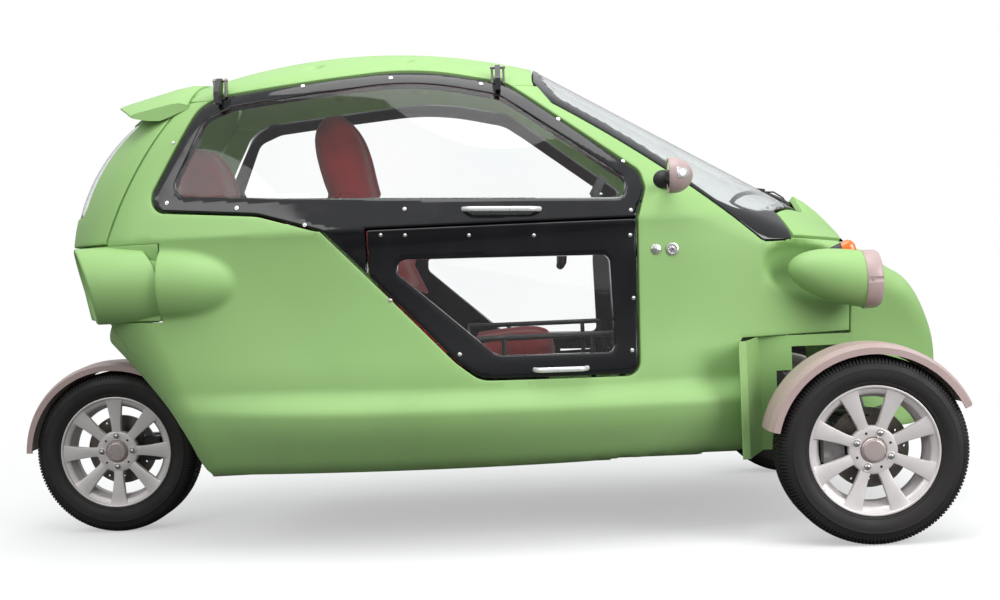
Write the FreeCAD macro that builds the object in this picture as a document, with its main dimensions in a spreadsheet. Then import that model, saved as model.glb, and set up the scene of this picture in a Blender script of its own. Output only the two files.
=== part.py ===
import FreeCAD, Part
import math
import os
import re
import Sketcher
from FreeCAD import Placement, Rotation, Vector

os.makedirs("parts", exist_ok=True)
doc = FreeCAD.newDocument("ThreeWheeledCar")

# Frame: +X is forward, +Y is the driver's left, +Z is up. The origin is on the floor, in the
# middle of the car's length. All sizes are millimetres and degrees.

# ---------------------------------------------------------------- driving dimensions
SIZES = (
    # alias, value, what it is
    ("front_axle_x", 1180, "front axle, ahead of the origin"),
    ("wheelbase", 2458, "front axle to rear axle"),
    ("axle_height", 280, "wheel centre above the floor"),
    ("track_half", 680, "centreline to the middle of a front tyre"),
    ("tyre_radius", 280, "tread radius"),
    ("tyre_width", 155, "over the sidewalls"),
    ("rim_radius", 192.5, "over the rim flanges, a 14 inch rim"),
    ("rim_width", 130, "over the rim flanges"),
    ("barrel_radius", 172, "inside of the rim's well"),
    ("rim_wall", 7, "rim metal"),
    ("spoke_count", 8, "spokes of a wheel"),
    ("spoke_root", 30, "spoke width at the hub"),
    ("spoke_tip", 47, "spoke width at the rim"),
    ("spoke_depth", 16, "spoke thickness along the axle"),
    ("hub_radius", 68, "bolting face of the rim"),
    ("cap_radius", 37, "hub cap"),
    ("bolt_circle", 50, "radius of the wheel bolts' circle"),
    ("disc_radius", 120, "brake disc"),
    ("stub_radius", 14, "stub axle that carries a wheel"),
    ("pin_gap", 0.05, "running clearance of a shaft"),
    ("kingpin_y", 620, "steering axis from the centreline"),
    ("steer_stop", 28, "lock of a front wheel each way, degrees"),
    ("fender_inner", 300, "inside radius of a mudguard"),
    ("fender_wall", 12, "mudguard thickness with its rolled edge"),
    ("fender_half_width", 88, "half the width of a mudguard"),
    ("wall", 30, "twin wall body panel"),
    ("shut_gap", 8, "gap round doors and lids"),
    ("glass", 5, "acrylic sheet"),
    ("bottom_z", 236, "underside of the sills"),
    ("waist_z", 1000, "seam between the two door leaves"),
    ("bulge_z", 434, "height of the widest line of the sides"),
    ("shelf_z", 500, "top of the soft shelf along the sills"),
    ("roof_z", 1608, "top of the roof, on the centreline"),
    ("pod_y", 500, "headlamp from the centreline"),
    ("pod_z", 778, "headlamp height"),
    ("lamp_radius", 90, "headlamp ring"),
    ("lamp_front_x", 1268, "front of the headlamp ring"),
    ("tail_pod_y", 458, "tail pod from the centreline"),
    ("tail_pod_z", 862, "tail pod height"),
    ("tail_pod_radius", 120, "tail pod"),
    ("door_hinge_y", 400, "gull wing hinge line from the centreline"),
    ("door_hinge_z", 1500, "gull wing hinge line above the floor"),
    ("steering_x", 375, "middle of the steering wheel"),
    ("steering_z", 1005, "middle of the steering wheel"),
    ("steering_radius", 165, "steering wheel rim"),
    ("column_rake", 28, "column above the level, degrees"),
)
sheet = doc.addObject("Spreadsheet::Sheet", "Sizes")
for row, (alias, value, meaning) in enumerate(SIZES, start=1):
    sheet.set(f"A{row}", alias)
    sheet.set(f"B{row}", str(value))
    sheet.set(f"C{row}", meaning)
    sheet.setAlias(f"B{row}", alias)
doc.recompute()
SHEET = {alias: float(sheet.get(alias)) for alias, value, meaning in SIZES}
globals().update(SHEET)
rear_axle_x = front_axle_x - wheelbase
SIDES = (("right", -1), ("left", 1))


# ---------------------------------------------------------------- plain helpers
def line(start, end):
    return Part.makeLine(start, end)


def arc(start, middle, end):
    return Part.Arc(start, middle, end).toShape()


def box(x0, x1, y0, y1, z0, z1):
    return Part.makeBox(x1 - x0, y1 - y0, z1 - z0, Vector(x0, y0, z0))


def rod(start, end, radius):
    start, end = Vector(*start), Vector(*end)
    return Part.makeCylinder(radius, (end - start).Length, start, end - start)


def mirrored(shape):
    """The same piece on the other side of the car."""
    return shape.mirror(Vector(0, 0, 0), Vector(0, 1, 0))


def on_side(shape, side):
    """A piece drawn for the right side, or its mirror image for the left."""
    return shape if side < 0 else mirrored(shape)


def fused(shapes):
    shapes = list(shapes)
    return shapes[0].fuse(shapes[1:]).removeSplitter() if len(shapes) > 1 else shapes[0]


def outline(points, rounds=None):
    """A closed face in the XZ plane through (x, z) corners, each with its own rounding radius."""
    count = len(points)
    rounds = rounds or [0] * count
    edges = []
    ends = []
    for i, (x, z) in enumerate(points):
        here = Vector(x, 0, z)
        back = Vector(points[i - 1][0], 0, points[i - 1][1]) - here
        ahead = Vector(points[(i + 1) % count][0], 0, points[(i + 1) % count][1]) - here
        radius = rounds[i]
        if not radius:
            ends.append((here, None, here))
            continue
        half = back.getAngle(ahead) / 2
        reach = radius / math.tan(half)
        back.normalize()
        ahead.normalize()
        inward = back + ahead
        inward.normalize()
        centre = here + inward * (radius / math.sin(half))
        ends.append((here + back * reach, centre - inward * radius, here + ahead * reach))
    for i, (start, middle, end) in enumerate(ends):
        if middle:
            edges.append(arc(start, middle, end))
        following = ends[(i + 1) % count][0]
        if (following - end).Length > 0.01:
            edges.append(line(end, following))
    return Part.Face(Part.Wire(edges))


def across(face, y0, y1):
    """A side view face stood up between two distances from the centreline."""
    moved = face.copy()
    moved.translate(Vector(0, y0, 0))
    return moved.extrude(Vector(0, y1 - y0, 0))


def grown(face, by):
    return face.makeOffset2D(by)


def piece(label, shape):
    """A sub-part whose form no primitive or sketch gives directly."""
    item = doc.addObject("Part::Feature", label)
    item.Label = label
    item.Shape = shape
    item.Placement = Placement()
    return item


WORD = re.compile(r"\b([a-z]+_[a-z_]+|wall|glass)\b(?!\()")


def bound(kind, name, base=("0", "0", "0"), turn=None, **sizes):
    """A Part primitive whose sizes and place are formulas of the sheet's cells."""
    item = doc.addObject(kind, name)
    if turn:
        item.Placement = Placement(Vector(), Rotation(*turn))
    for prop, formula in sizes.items():
        item.setExpression(prop, WORD.sub(r"Sizes.\1", formula))
    for letter, formula in zip("xyz", base):
        item.setExpression(f"Placement.Base.{letter}", WORD.sub(r"Sizes.\1", formula))
    return item


ALONG_Y = (Vector(1, 0, 0), -90)


# ---------------------------------------------------------------- the body's form
# The body is what two forms share: the side view, swept across the car with a crown, and the
# plan, stacked up the height. The inner form is the same pair, set in by the panel thickness.
EDGE_Y = 700
PROFILE = (
    # corner, x and z on the centreline, x and z at EDGE_Y
    ("nose_bottom", 1430, 262, 1430, 262),
    ("nose_front", 1570, 500, 1570, 440),
    ("nose_top", 1400, 810, 1400, 560),
    ("cowl", 1040, 1062, 980, 730),
    ("screen_top", 240, 1530, 180, 1240),
    ("roof_middle", -290, roof_z, -290, 1318),
    ("roof_rear", -860, 1532, -800, 1242),
    ("hatch_middle", -1230, 1330, -800, 1110),
    ("hatch_foot", -1380, 985, -880, 985),
    ("tail_foot", -1330, 735, -840, 735),
    ("sill_rear", -850, bottom_z, -850, bottom_z),
)
PLAN_STACK = (
    # each run of the plan up the height: straight sided or bowed, then its levels, each with
    # height, half width at the tail, amidships and at the front corner, nose tip
    ("sill", False, ((200, 300, 535, 420, 1450), (320, 314, 642, 434, 1540), (bulge_z, 330, 692, 444, 1570))),
    ("shelf", True, ((bulge_z, 330, 692, 444, 1570), (shelf_z, 339, 652, 428, 1568))),
    ("flank", False, ((shelf_z, 339, 652, 428, 1568), (640, 360, 634, 432, 1540), (waist_z, 400, 616, 440, 1480))),
    ("cabin", True, ((waist_z, 400, 616, 440, 1480), (1640, 255, 374, 190, 1300))),
)
TAIL_X = -1450
CORNER_X = 1080


def side_wire(y, edge, inset):
    """The side view at one distance from the centreline; edge runs from 0 at the middle to 1."""
    at = {}
    middle = Vector(0, y, 800)
    for name, x_mid, z_mid, x_edge, z_edge in PROFILE:
        point = Vector(x_mid + (x_edge - x_mid) * edge, y, z_mid + (z_edge - z_mid) * edge)
        inward = middle - point
        inward.x = math.copysign(min(abs(inward.x), 400), inward.x)
        inward.normalize()
        at[name] = point + inward * inset
    return Part.Wire([
        arc(at["nose_bottom"], at["nose_front"], at["nose_top"]),
        line(at["nose_top"], at["cowl"]),
        line(at["cowl"], at["screen_top"]),
        arc(at["screen_top"], at["roof_middle"], at["roof_rear"]),
        arc(at["roof_rear"], at["hatch_middle"], at["hatch_foot"]),
        line(at["hatch_foot"], at["tail_foot"]),
        line(at["tail_foot"], at["sill_rear"]),
        line(at["sill_rear"], at["nose_bottom"]),
    ])


def plan_wire(height, y_tail, y_middle, y_front, x_nose, inset):
    tail = Vector(TAIL_X, y_tail - inset, height)
    middle = Vector(0, y_middle - inset, height)
    front = Vector(CORNER_X, y_front - inset, height)
    nose = Vector(x_nose - inset, 0, height)
    flip = [Vector(p.x, -p.y, p.z) for p in (tail, middle, front)]
    return Part.Wire([
        arc(tail, middle, front),
        arc(front, nose, flip[2]),
        arc(flip[2], flip[1], flip[0]),
        line(flip[0], tail),
    ])


def body_form(inset):
    swept = Part.makeLoft([side_wire(-EDGE_Y, 1, inset), side_wire(0, 0, inset),
                           side_wire(EDGE_Y, 1, inset)], True, False)
    runs = [Part.makeLoft([plan_wire(*level, inset) for level in levels], True, ruled)
            for name, ruled, levels in PLAN_STACK]
    return swept.common(runs[0].fuse(runs[1:]))


outer_form = body_form(0)
inner_form = body_form(wall)
shell = outer_form.cut(inner_form)

# ---------------------------------------------------------------- side view outlines of the panels
FAR = 2500
# The upper leaf carries a small tab below its rear corner, so that the lower leaf can swing clear.
TAB_X, TAB_Z = -300, 855
door_upper = outline(
    [(-985, 1088), (-985, 1145), (-842, 1414), (-770, 1452), (-142, 1512), (140, 1450),
     (545, 1146), (558, 1092), (528, waist_z), (TAB_X, waist_z), (TAB_X, TAB_Z),
     (-440, waist_z), (-640, 1060)],
    [45, 60, 120, 30, 900, 120, 45, 30, 0, 0, 0, 0, 200])
door_lower = outline(
    [(TAB_X, waist_z), (528, waist_z), (514, 520), (30, 530), (-40, 585), (TAB_X, TAB_Z)],
    [0, 0, 40, 90, 60, 0])
upper_window = outline(
    [(-930, 1132), (-815, 1378), (-735, 1412), (-142, 1468), (120, 1408),
     (505, 1122), (490, 1062), (-560, 1108)],
    [40, 60, 60, 900, 120, 35, 30, 300])
lower_window = outline(
    [(-262, 905), (438, 890), (444, 592), (80, 600)],
    [30, 25, 25, 60])
screen_side = Part.Face(Part.Wire([
    line(Vector(226, 0, 1700), Vector(226, 0, 1468)),
    line(Vector(226, 0, 1468), Vector(285, 0, 1382)),
    arc(Vector(285, 0, 1382), Vector(600, 0, 1176), Vector(925, 0, 912)),
    line(Vector(925, 0, 912), Vector(1006, 0, 912)),
    line(Vector(1006, 0, 912), Vector(1006, 0, 1700)),
    line(Vector(1006, 0, 1700), Vector(226, 0, 1700)),
]))
glass_side = Part.Face(Part.Wire([
    line(Vector(262, 0, 1700), Vector(262, 0, 1466)),
    line(Vector(262, 0, 1466), Vector(330, 0, 1400)),
    arc(Vector(330, 0, 1400), Vector(610, 0, 1224), Vector(880, 0, 1000)),
    line(Vector(880, 0, 1000), Vector(935, 0, 1000)),
    line(Vector(935, 0, 1000), Vector(985, 0, 1700)),
    line(Vector(985, 0, 1700), Vector(262, 0, 1700)),
]))
tailgate_side = Part.Face(Part.Wire([
    arc(Vector(-850, 0, 1500), Vector(-1035, 0, 1240), Vector(-1146, 0, 990)),
    line(Vector(-1146, 0, 990), Vector(-FAR, 0, 990)),
    line(Vector(-FAR, 0, 990), Vector(-FAR, 0, 1700)),
    line(Vector(-FAR, 0, 1700), Vector(-838, 0, 1700)),
    line(Vector(-838, 0, 1700), Vector(-850, 0, 1500)),
]))
bonnet_side = outline([(1010, 1400), (1010, 924), (1235, 905), (1700, 905), (1700, 1400)])
NOSE_X = 1212
ROOF_SEAM_Z = 1440
TAIL_SEAM_Z = 990
TAIL_FOOT_Z = 742
TAIL_FRONT_X = -960


def door_gap(face):
    return across(grown(face, shut_gap / 2), -FAR, FAR)


def shrunk(face):
    return grown(face, -shut_gap / 2)


# ---------------------------------------------------------------- fixed body panels
door_hole = across(grown(door_upper, shut_gap / 2), -FAR, FAR).fuse(
    across(grown(door_lower, shut_gap / 2), -FAR, FAR))
tailgate_hole = across(grown(tailgate_side, shut_gap / 2), -FAR, FAR)
bonnet_hole = across(grown(bonnet_side, shut_gap / 2), -FAR, FAR)
screen_hole = across(screen_side, -FAR, FAR)

# Room for the steered front wheels: the body narrows behind them and they sweep beside the nose.
ARCH_TOP_Z = 612
ARCH_Y = 440
arch_plan = Part.Face(Part.makePolygon([
    Vector(815, -FAR, 0), Vector(815, -640, 0), Vector(905, -ARCH_Y, 0),
    Vector(1475, -ARCH_Y, 0), Vector(1475, -FAR, 0), Vector(815, -FAR, 0)]))
arch_right = arch_plan.extrude(Vector(0, 0, ARCH_TOP_Z))
arches = arch_right.fuse(mirrored(arch_right))

fixed_shell = shell.cut([door_hole, tailgate_hole, bonnet_hole, screen_hole, arches,
                         box(-FAR, FAR, -FAR, FAR, 0, bottom_z + 1)])
above_roof_seam = box(-FAR, FAR, -FAR, FAR, ROOF_SEAM_Z, FAR)
nose_zone = box(NOSE_X, FAR, -FAR, FAR, 0, FAR)
tail_zone = box(-FAR, TAIL_FRONT_X, -FAR, FAR, TAIL_FOOT_Z, TAIL_SEAM_Z)
floor_zone = box(-FAR, NOSE_X, -430, 430, 0, 290)


def biggest(shape, count=1):
    """Leave out the slivers that a split can shed."""
    solids = sorted(shape.Solids, key=lambda solid: -solid.Volume)[:count]
    return Part.makeCompound(solids) if count > 1 else solids[0]


# Headlamp pods: a bullet that stands out of a scooped hollow in each flank.
def bullet(tip, base, ball, radius):
    """A solid turned round the line from tip to base: a ball at the tip runs into a long swell."""
    length = (base - tip).Length
    turn_off = math.radians(80)
    half = turn_off / 2
    shoulder = Vector(ball * (1 - math.cos(turn_off)), ball * math.sin(turn_off), 0)
    swell = Vector(shoulder.x + (length - shoulder.x) * 0.5,
                   shoulder.y + (radius - shoulder.y) * 0.62, 0)
    section = Part.Face(Part.Wire([
        arc(Vector(0, 0, 0), Vector(ball * (1 - math.cos(half)), ball * math.sin(half), 0), shoulder),
        arc(shoulder, swell, Vector(length, radius, 0)),
        line(Vector(length, radius, 0), Vector(length, 0, 0)),
        line(Vector(length, 0, 0), Vector(0, 0, 0)),
    ]))
    turned_solid = section.revolve(Vector(0, 0, 0), Vector(1, 0, 0), 360)
    turned_solid.Placement = Placement(tip, Rotation(Vector(1, 0, 0), base - tip))
    return turned_solid


def lined(hollow, liner):
    """The skin that backs a hollow pressed into the body."""
    return liner.cut(hollow).common(outer_form)


lamp_back_x = lamp_front_x - 45
SCOOP_TIP = Vector(930, -pod_y - 10, 829)
SCOOP_END = Vector(lamp_front_x + 40, -pod_y, pod_z)
SCOOP_SKIN = 18
pod_scoop = bullet(SCOOP_TIP, SCOOP_END, 62, lamp_radius + 26)
scoop_liner = lined(pod_scoop, bullet(SCOOP_TIP - Vector(SCOOP_SKIN, 0, 0), SCOOP_END, 62 + SCOOP_SKIN,
                                      lamp_radius + 26 + SCOOP_SKIN))
pod_bullet = bullet(Vector(1004, -pod_y - 4, 812), Vector(lamp_back_x, -pod_y, pod_z), 46, lamp_radius - 4)

# Tail pods: stubby barrels whose rear face leans, led into by a long teardrop on the flank.
tail_barrel = Part.makeCylinder(tail_pod_radius, 300, Vector(-1262, -tail_pod_y, tail_pod_z),
                                Vector(1, 0, 0))
tail_slope = outline([(-1400, 600), (-1112, 600), (-1285, 1120), (-1400, 1120)])
tail_barrel = tail_barrel.cut(across(tail_slope, -FAR, FAR))
teardrop = bullet(Vector(-700, -507, 852), Vector(TAIL_FRONT_X + 4, -tail_pod_y - 8, tail_pod_z),
                  32, tail_pod_radius - 4)

right_half = box(-FAR, FAR, -FAR, 0, 0, FAR)
side_raw = fixed_shell.common(right_half).cut([above_roof_seam, nose_zone, tail_zone, floor_zone])
side_right = side_raw.cut(pod_scoop).fuse([scoop_liner, pod_bullet, teardrop.cut(inner_form)])
side_right = side_right.cut([door_hole, arches, tail_zone, nose_zone, bonnet_hole, screen_hole, floor_zone])
side_right = biggest(side_right.fuse(pod_bullet.common(nose_zone)))
HINGE_XS = (-770, 118)

roof = biggest(fixed_shell.common(above_roof_seam).cut(
    box(-FAR, FAR, -FAR, FAR, ROOF_SEAM_Z, ROOF_SEAM_Z + 0.5)))
# The roof's edges are eased where the upper leaves swing past them.
door_sweep = grown(door_upper, shut_gap / 2).common(outline(
    [(-FAR, 1000), (FAR, 1000), (FAR, door_hinge_z - 4), (-FAR, door_hinge_z - 4)]))
door_sweep.translate(Vector(0, -door_hinge_y, 0))
door_sweep = door_sweep.Faces[0].revolve(Vector(0, -door_hinge_y, door_hinge_z), Vector(-1, 0, 0), 165)
roof = biggest(roof.cut([door_sweep, mirrored(door_sweep)]))
pocket_right = [box(x - 13, x + 13, -door_hinge_y - 75, -door_hinge_y + 15, 1425, 1640)
                for x in HINGE_XS]
pockets = pocket_right + [mirrored(pocket) for pocket in pocket_right]
DIMPLE_XS = (-470, -150)
dimples = [Part.makeSphere(16, Vector(x, side * 330, 1545)) for x in DIMPLE_XS for name, side in SIDES]
piece("roof_panel", biggest(roof.cut(pockets + dimples)))
# The rear wheel turns in a well let up into the tail, with a slot on its left for the swing arm.
WELL_RADIUS = 338
WELL_RIGHT_Y, WELL_LEFT_Y = -125, 150
LINER = 5
well = Part.makeCylinder(WELL_RADIUS, WELL_LEFT_Y - WELL_RIGHT_Y,
                         Vector(rear_axle_x, WELL_RIGHT_Y, axle_height), Vector(0, 1, 0))
well_skin = Part.makeCylinder(WELL_RADIUS + LINER, WELL_LEFT_Y - WELL_RIGHT_Y + 2 * LINER,
                              Vector(rear_axle_x, WELL_RIGHT_Y - LINER, axle_height), Vector(0, 1, 0))
arm_slot = box(-1010, -780, 104, 168, 200, 348)
plain_side = biggest(side_right.cut(pocket_right))
shoulder_ease = door_sweep.common(box(100, 260, -540, -380, 1390, ROOF_SEAM_Z + 1))
plain_side = biggest(plain_side.cut(shoulder_ease))
side_right = biggest(plain_side.cut(well))
side_left = biggest(mirrored(plain_side).cut([well, arm_slot]))
piece("side_shell_right", side_right)
piece("side_shell_left", side_left)

scoops = pod_scoop.fuse(mirrored(pod_scoop))
nose = fixed_shell.common(nose_zone).cut(scoops).fuse(
    [half.common(nose_zone) for half in (scoop_liner, mirrored(scoop_liner))])
nose = nose.cut([box(NOSE_X, NOSE_X + 3, -FAR, FAR, 0, FAR), floor_zone, arches, bonnet_hole])
piece("nose_panel", biggest(nose))

tail = outer_form.common(tail_zone).cut(inner_form)
tail = tail.fuse([tail_barrel.cut(inner_form), mirrored(tail_barrel.cut(inner_form))])
tail = tail.common(box(-FAR, TAIL_FRONT_X - 4, -FAR, FAR, TAIL_FOOT_Z + 3, TAIL_SEAM_Z - 3))
tail = tail.cut(tailgate_hole)
tail_lamp = tail_barrel.common(Part.makeCylinder(
    tail_pod_radius - 22, 160, Vector(-1300, -tail_pod_y, tail_pod_z), Vector(1, 0, 0)))
tail_lamp = tail_lamp.cut(tail_lamp.translated(Vector(14, 0, 0)))
piece("tail_fairing", biggest(tail.cut([tail_lamp, mirrored(tail_lamp)])))
piece("tail_lamps", Part.makeCompound([tail_lamp, mirrored(tail_lamp)]))

# ---------------------------------------------------------------- floor and inner structure
FLOOR_TOP_Z = 276
floor_plan = inner_form.common(box(-860, 930, -FAR, FAR, bottom_z - 4, FLOOR_TOP_Z))
floor_plan = floor_plan.fuse(outer_form.common(box(-860, NOSE_X - 2, -430, 430, bottom_z, FLOOR_TOP_Z)))
floor_plan = floor_plan.common(box(-FAR, NOSE_X - 2, -430, 430, bottom_z, FLOOR_TOP_Z))
bulkhead = box(880, 906, -400, 400, FLOOR_TOP_Z, 900)
spine = box(-820, 880, -70, 70, FLOOR_TOP_Z, 330)
rear_seat_base = box(-700, -290, -185, 185, FLOOR_TOP_Z, 409)
# Three flat pads under the floor take a jack or the arms of a lift.
PAD_Z = 230
PAD_HALF = 40
PADS = ((200, -360), (200, 360), (-700, 0))
pads = [box(x - PAD_HALF, x + PAD_HALF, y - PAD_HALF, y + PAD_HALF, PAD_Z, FLOOR_TOP_Z - 10) for x, y in PADS]
piece("floor_tub", fused([floor_plan, bulkhead.common(inner_form), spine, rear_seat_base] + pads))

# ---------------------------------------------------------------- windscreen, bonnet, tailgate
glass_skin = body_form(6).cut(body_form(6 + glass))
frame_skin = outer_form.cut(body_form(wall - 8))
glass_zone = across(glass_side, -FAR, FAR)
surround_zone = across(grown(screen_side, -3), -FAR, FAR)
COWL_Y = 400
bonnet_rear = Part.Face(Part.makePolygon([
    Vector(1010, -FAR, 0), Vector(1010, -COWL_Y, 0), Vector(1128, -90, 0), Vector(1128, 90, 0),
    Vector(1010, COWL_Y, 0), Vector(1010, FAR, 0), Vector(1700, FAR, 0), Vector(1700, -FAR, 0),
    Vector(1010, -FAR, 0)])).extrude(Vector(0, 0, FAR))
cowl_zone = bonnet_hole.cut(bonnet_rear)
cowl = shell.translated(Vector(0, 0, -34)).common(cowl_zone).common(outer_form)
surround = frame_skin.common(surround_zone).cut(glass_zone)
surround = surround.fuse([cowl, frame_skin.common(box(980, 1030, -FAR, FAR, 940, 1060)).common(
    across(screen_side, -COWL_Y, COWL_Y))])
piece("windscreen_surround", biggest(surround.cut([side_left, side_right])))
piece("windscreen", biggest(glass_skin.common(glass_zone)))

ridge = outline([(1113, 985), (1113, 1065), (1262, 905), (1180, 905)], [0, 14, 0, 0])
ridge = across(ridge, -75, 75).cut(across(outline(
    [(1100, 960), (1100, 1045), (1215, 925)]), -62, 62))
bonnet = frame_skin.common(across(shrunk(bonnet_side), -FAR, FAR))
bonnet = bonnet.common(bonnet_rear).fuse(ridge.common(box(1100, 1300, -80, 80, 905, 1200)))
bonnet = bonnet.cut(inner_form)
piece("bonnet_panel", biggest(bonnet))

tailgate = shell.common(across(shrunk(tailgate_side), -FAR, FAR))
rear_window_zone = Part.Face(Part.makePolygon([
    Vector(0, -300, 1090), Vector(0, 300, 1090), Vector(0, 270, 1400), Vector(0, -270, 1400),
    Vector(0, -300, 1090)])).extrude(Vector(-FAR, 0, 0))
# The spoiler is a lip that follows the roof's crown: its section is carried on a lower crown
# toward the sides, the same way as the body.
SPOILER = ((-866, 1526), (-1188, 1474), (-1182, 1462), (-1086, 1416), (-980, 1440))
SPOILER_SIDE_Y = 395
SPOILER_DROP = (25, -92)


def spoiler_wire(y, edge):
    points = [Vector(x + SPOILER_DROP[0] * edge, y, z + SPOILER_DROP[1] * edge) for x, z in SPOILER]
    return Part.makePolygon(points + points[:1])


spoiler = Part.makeLoft([spoiler_wire(-SPOILER_SIDE_Y, 1), spoiler_wire(0, 0),
                         spoiler_wire(SPOILER_SIDE_Y, 1)], True, False)
spoiler = spoiler.cut(inner_form).common(across(shrunk(tailgate_side), -FAR, FAR))
piece("tailgate_panel", biggest(tailgate.fuse(spoiler).cut(rear_window_zone)))
piece("tailgate_window", biggest(glass_skin.common(rear_window_zone).common(
    across(shrunk(tailgate_side), -FAR, FAR)).cut(spoiler)))

# ---------------------------------------------------------------- doors: two leaves each side
upper_leaf = biggest(shell.common(across(shrunk(door_upper), -FAR, -20)).cut(
    across(upper_window, -FAR, FAR)))
upper_pane = biggest(glass_skin.common(across(upper_window, -FAR, -20)))
lower_leaf = biggest(shell.common(across(shrunk(door_lower), -FAR, -20)).cut(
    across(lower_window, -FAR, FAR)))
lower_pane = biggest(glass_skin.common(across(lower_window, -FAR, -20)))


def bow_handle(x, z, y, length, stand):
    """A bowed grip on two feet, drawn on the right flank."""
    half = length / 2
    bow = Part.Wire([arc(Vector(x - half, y, z), Vector(x, y - stand, z), Vector(x + half, y, z))])
    section = Part.Wire([Part.makeCircle(8, Vector(x - half, y, z), Vector(0.6, -1, 0))])
    return bow.makePipeShell([section], True, False)


upper_grip = bow_handle(122, 1046, -592, 236, 50)
lower_grip = bow_handle(285, 550, -632, 164, 40)
arm_side = Part.Face(Part.makePolygon([
    Vector(0, -door_hinge_y + dy, door_hinge_z + dz) for dy, dz in
    ((10, 7), (10, -10), (-32, -78), (-70, -78), (-70, -42), (-18, 7), (10, 7))]))
arms = [arm_side.translated(Vector(x - 9, 0, 0)).extrude(Vector(18, 0, 0)) for x in HINGE_XS]
hinge_pins = [rod((x - 24, -door_hinge_y, door_hinge_z), (x + 24, -door_hinge_y, door_hinge_z), 5)
              for x in HINGE_XS]
cheeks = [box(x + step - 4, x + step + 4, -door_hinge_y - 12, -door_hinge_y + 14, 1440, door_hinge_z + 7)
          for x in HINGE_XS for step in (-18, 18)]
pin_holes = [rod((x - 10, -door_hinge_y, door_hinge_z), (x + 10, -door_hinge_y, door_hinge_z), 5 + pin_gap)
             for x in HINGE_XS]
roof_hinges = fused(cheeks[:2] + hinge_pins[:1]), fused(cheeks[2:] + hinge_pins[1:])
roof_body = doc.getObject("roof_panel").Shape
hinge_set = [half.cut(roof_body).cut(door_hole) for pair in roof_hinges for half in (pair, mirrored(pair))]
piece("roof_hinges", Part.makeCompound(hinge_set))
for name, side in SIDES:
    piece(f"upper_door_{name}", on_side(upper_leaf, side))
    piece(f"upper_door_glass_{name}", on_side(upper_pane, side))
    fittings = [upper_grip.cut(outer_form)] + [biggest(arm.cut(pin_holes).cut(upper_leaf)) for arm in arms]
    piece(f"upper_door_fittings_{name}", on_side(Part.makeCompound(fittings), side))
    piece(f"lower_door_{name}", on_side(lower_leaf, side))
    piece(f"lower_door_glass_{name}", on_side(lower_pane, side))
    piece(f"lower_door_handle_{name}", on_side(lower_grip.cut(outer_form), side))

# ---------------------------------------------------------------- lamps, mirrors, wiper
ring = Part.makeCylinder(lamp_radius, 42, Vector(lamp_back_x + 2, -pod_y, pod_z), Vector(1, 0, 0))
ring = ring.makeFillet(10, [edge for edge in ring.Edges if edge.BoundBox.XLength < 1
                            and edge.BoundBox.XMin > lamp_back_x + 20])
lens_bowl = Part.makeCylinder(lamp_radius - 16, 34, Vector(lamp_back_x + 14, -pod_y, pod_z),
                              Vector(1, 0, 0))
ring = ring.cut(lens_bowl)
lens = Part.makeSphere(200, Vector(lamp_front_x - 4 - 200, -pod_y, pod_z)).common(
    Part.makeCylinder(lamp_radius - 17, 30, Vector(lamp_back_x + 16, -pod_y, pod_z), Vector(1, 0, 0)))
piece("headlight_rings", Part.makeCompound([ring, mirrored(ring)]))
piece("headlight_lenses", Part.makeCompound([lens, mirrored(lens)]))

blinker = outline([(1118, 868), (1222, 862), (1222, 882), (1196, 899), (1168, 898)], [3, 3, 8, 10, 3])
blinker = across(blinker, -478, -430).cut([side_right, outer_form])
piece("indicators", Part.makeCompound([blinker, mirrored(blinker)]))

# A mirror is a domed cup on a stalk, with its round glass let into the flat rear face.
MIRROR_AT = Vector(628, -702, 1114)
cup_side = Part.Face(Part.Wire([
    line(Vector(0, 0, 0), Vector(0, 0, 50)),
    arc(Vector(0, 0, 50), Vector(4, 0, 54), Vector(12, 0, 55)),
    arc(Vector(12, 0, 55), Vector(52, 0, 38), Vector(68, 0, 0)),
    line(Vector(68, 0, 0), Vector(0, 0, 0)),
]))
cup = cup_side.revolve(Vector(0, 0, 0), Vector(1, 0, 0), 360).translated(MIRROR_AT)
cup = cup.cut(Part.makeCylinder(46, 5, MIRROR_AT, Vector(1, 0, 0)))
stalk = rod((650, -540, 1092), (655, -665, 1110), 11)
mirror = fused([cup, stalk]).cut(outer_form)
mirror = biggest(mirror)
piece("mirrors", Part.makeCompound([mirror, mirrored(mirror)]))

arm_line = [(985, 40, 1124), (948, -150, 1134), (880, -420, 1090)]
wiper = fused([rod(arm_line[0], arm_line[1], 7), rod(arm_line[1], arm_line[2], 7),
               rod((985, 40, 1060), (985, 40, 1128), 12)])
piece("wiper", wiper.cut(doc.getObject("windscreen_surround").Shape).cut(doc.getObject("windscreen").Shape))

# ---------------------------------------------------------------- wheels
# A wheel is drawn on the Y axis with its outer face toward -Y, then set on its hub.
WHEELS = (
    ("front_right", front_axle_x, -track_half, -1),
    ("front_left", front_axle_x, track_half, 1),
    ("rear", rear_axle_x, -5, -1),
)
TYRE_SECTION = (
    # radius and distance from the middle of the tread, as formulas of the sheet
    ("rim_radius - 13", "8 + 12.5"),
    ("rim_radius + 1", "20"),
    ("rim_radius + 4", "11.5"),
    ("rim_radius + 33", "0"),
    ("tyre_radius - 25", "2.5"),
    ("tyre_radius - 8", "13.5"),
    ("tyre_radius", "27.5"),
)
RIM_SECTION = (
    # radius, distance from the middle of the rim
    (192.5, -65), (192.5, -58.5), (178.5, -58.5), (178.5, -40), (162, -20), (162, 10),
    (178.5, 35), (178.5, 58.5), (192.5, 58.5), (192.5, 65), (185, 65), (171.5, 52),
    (171.5, 36), (155, 12), (155, -22), (171.5, -42), (171.5, -52), (180, -65),
)


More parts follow.
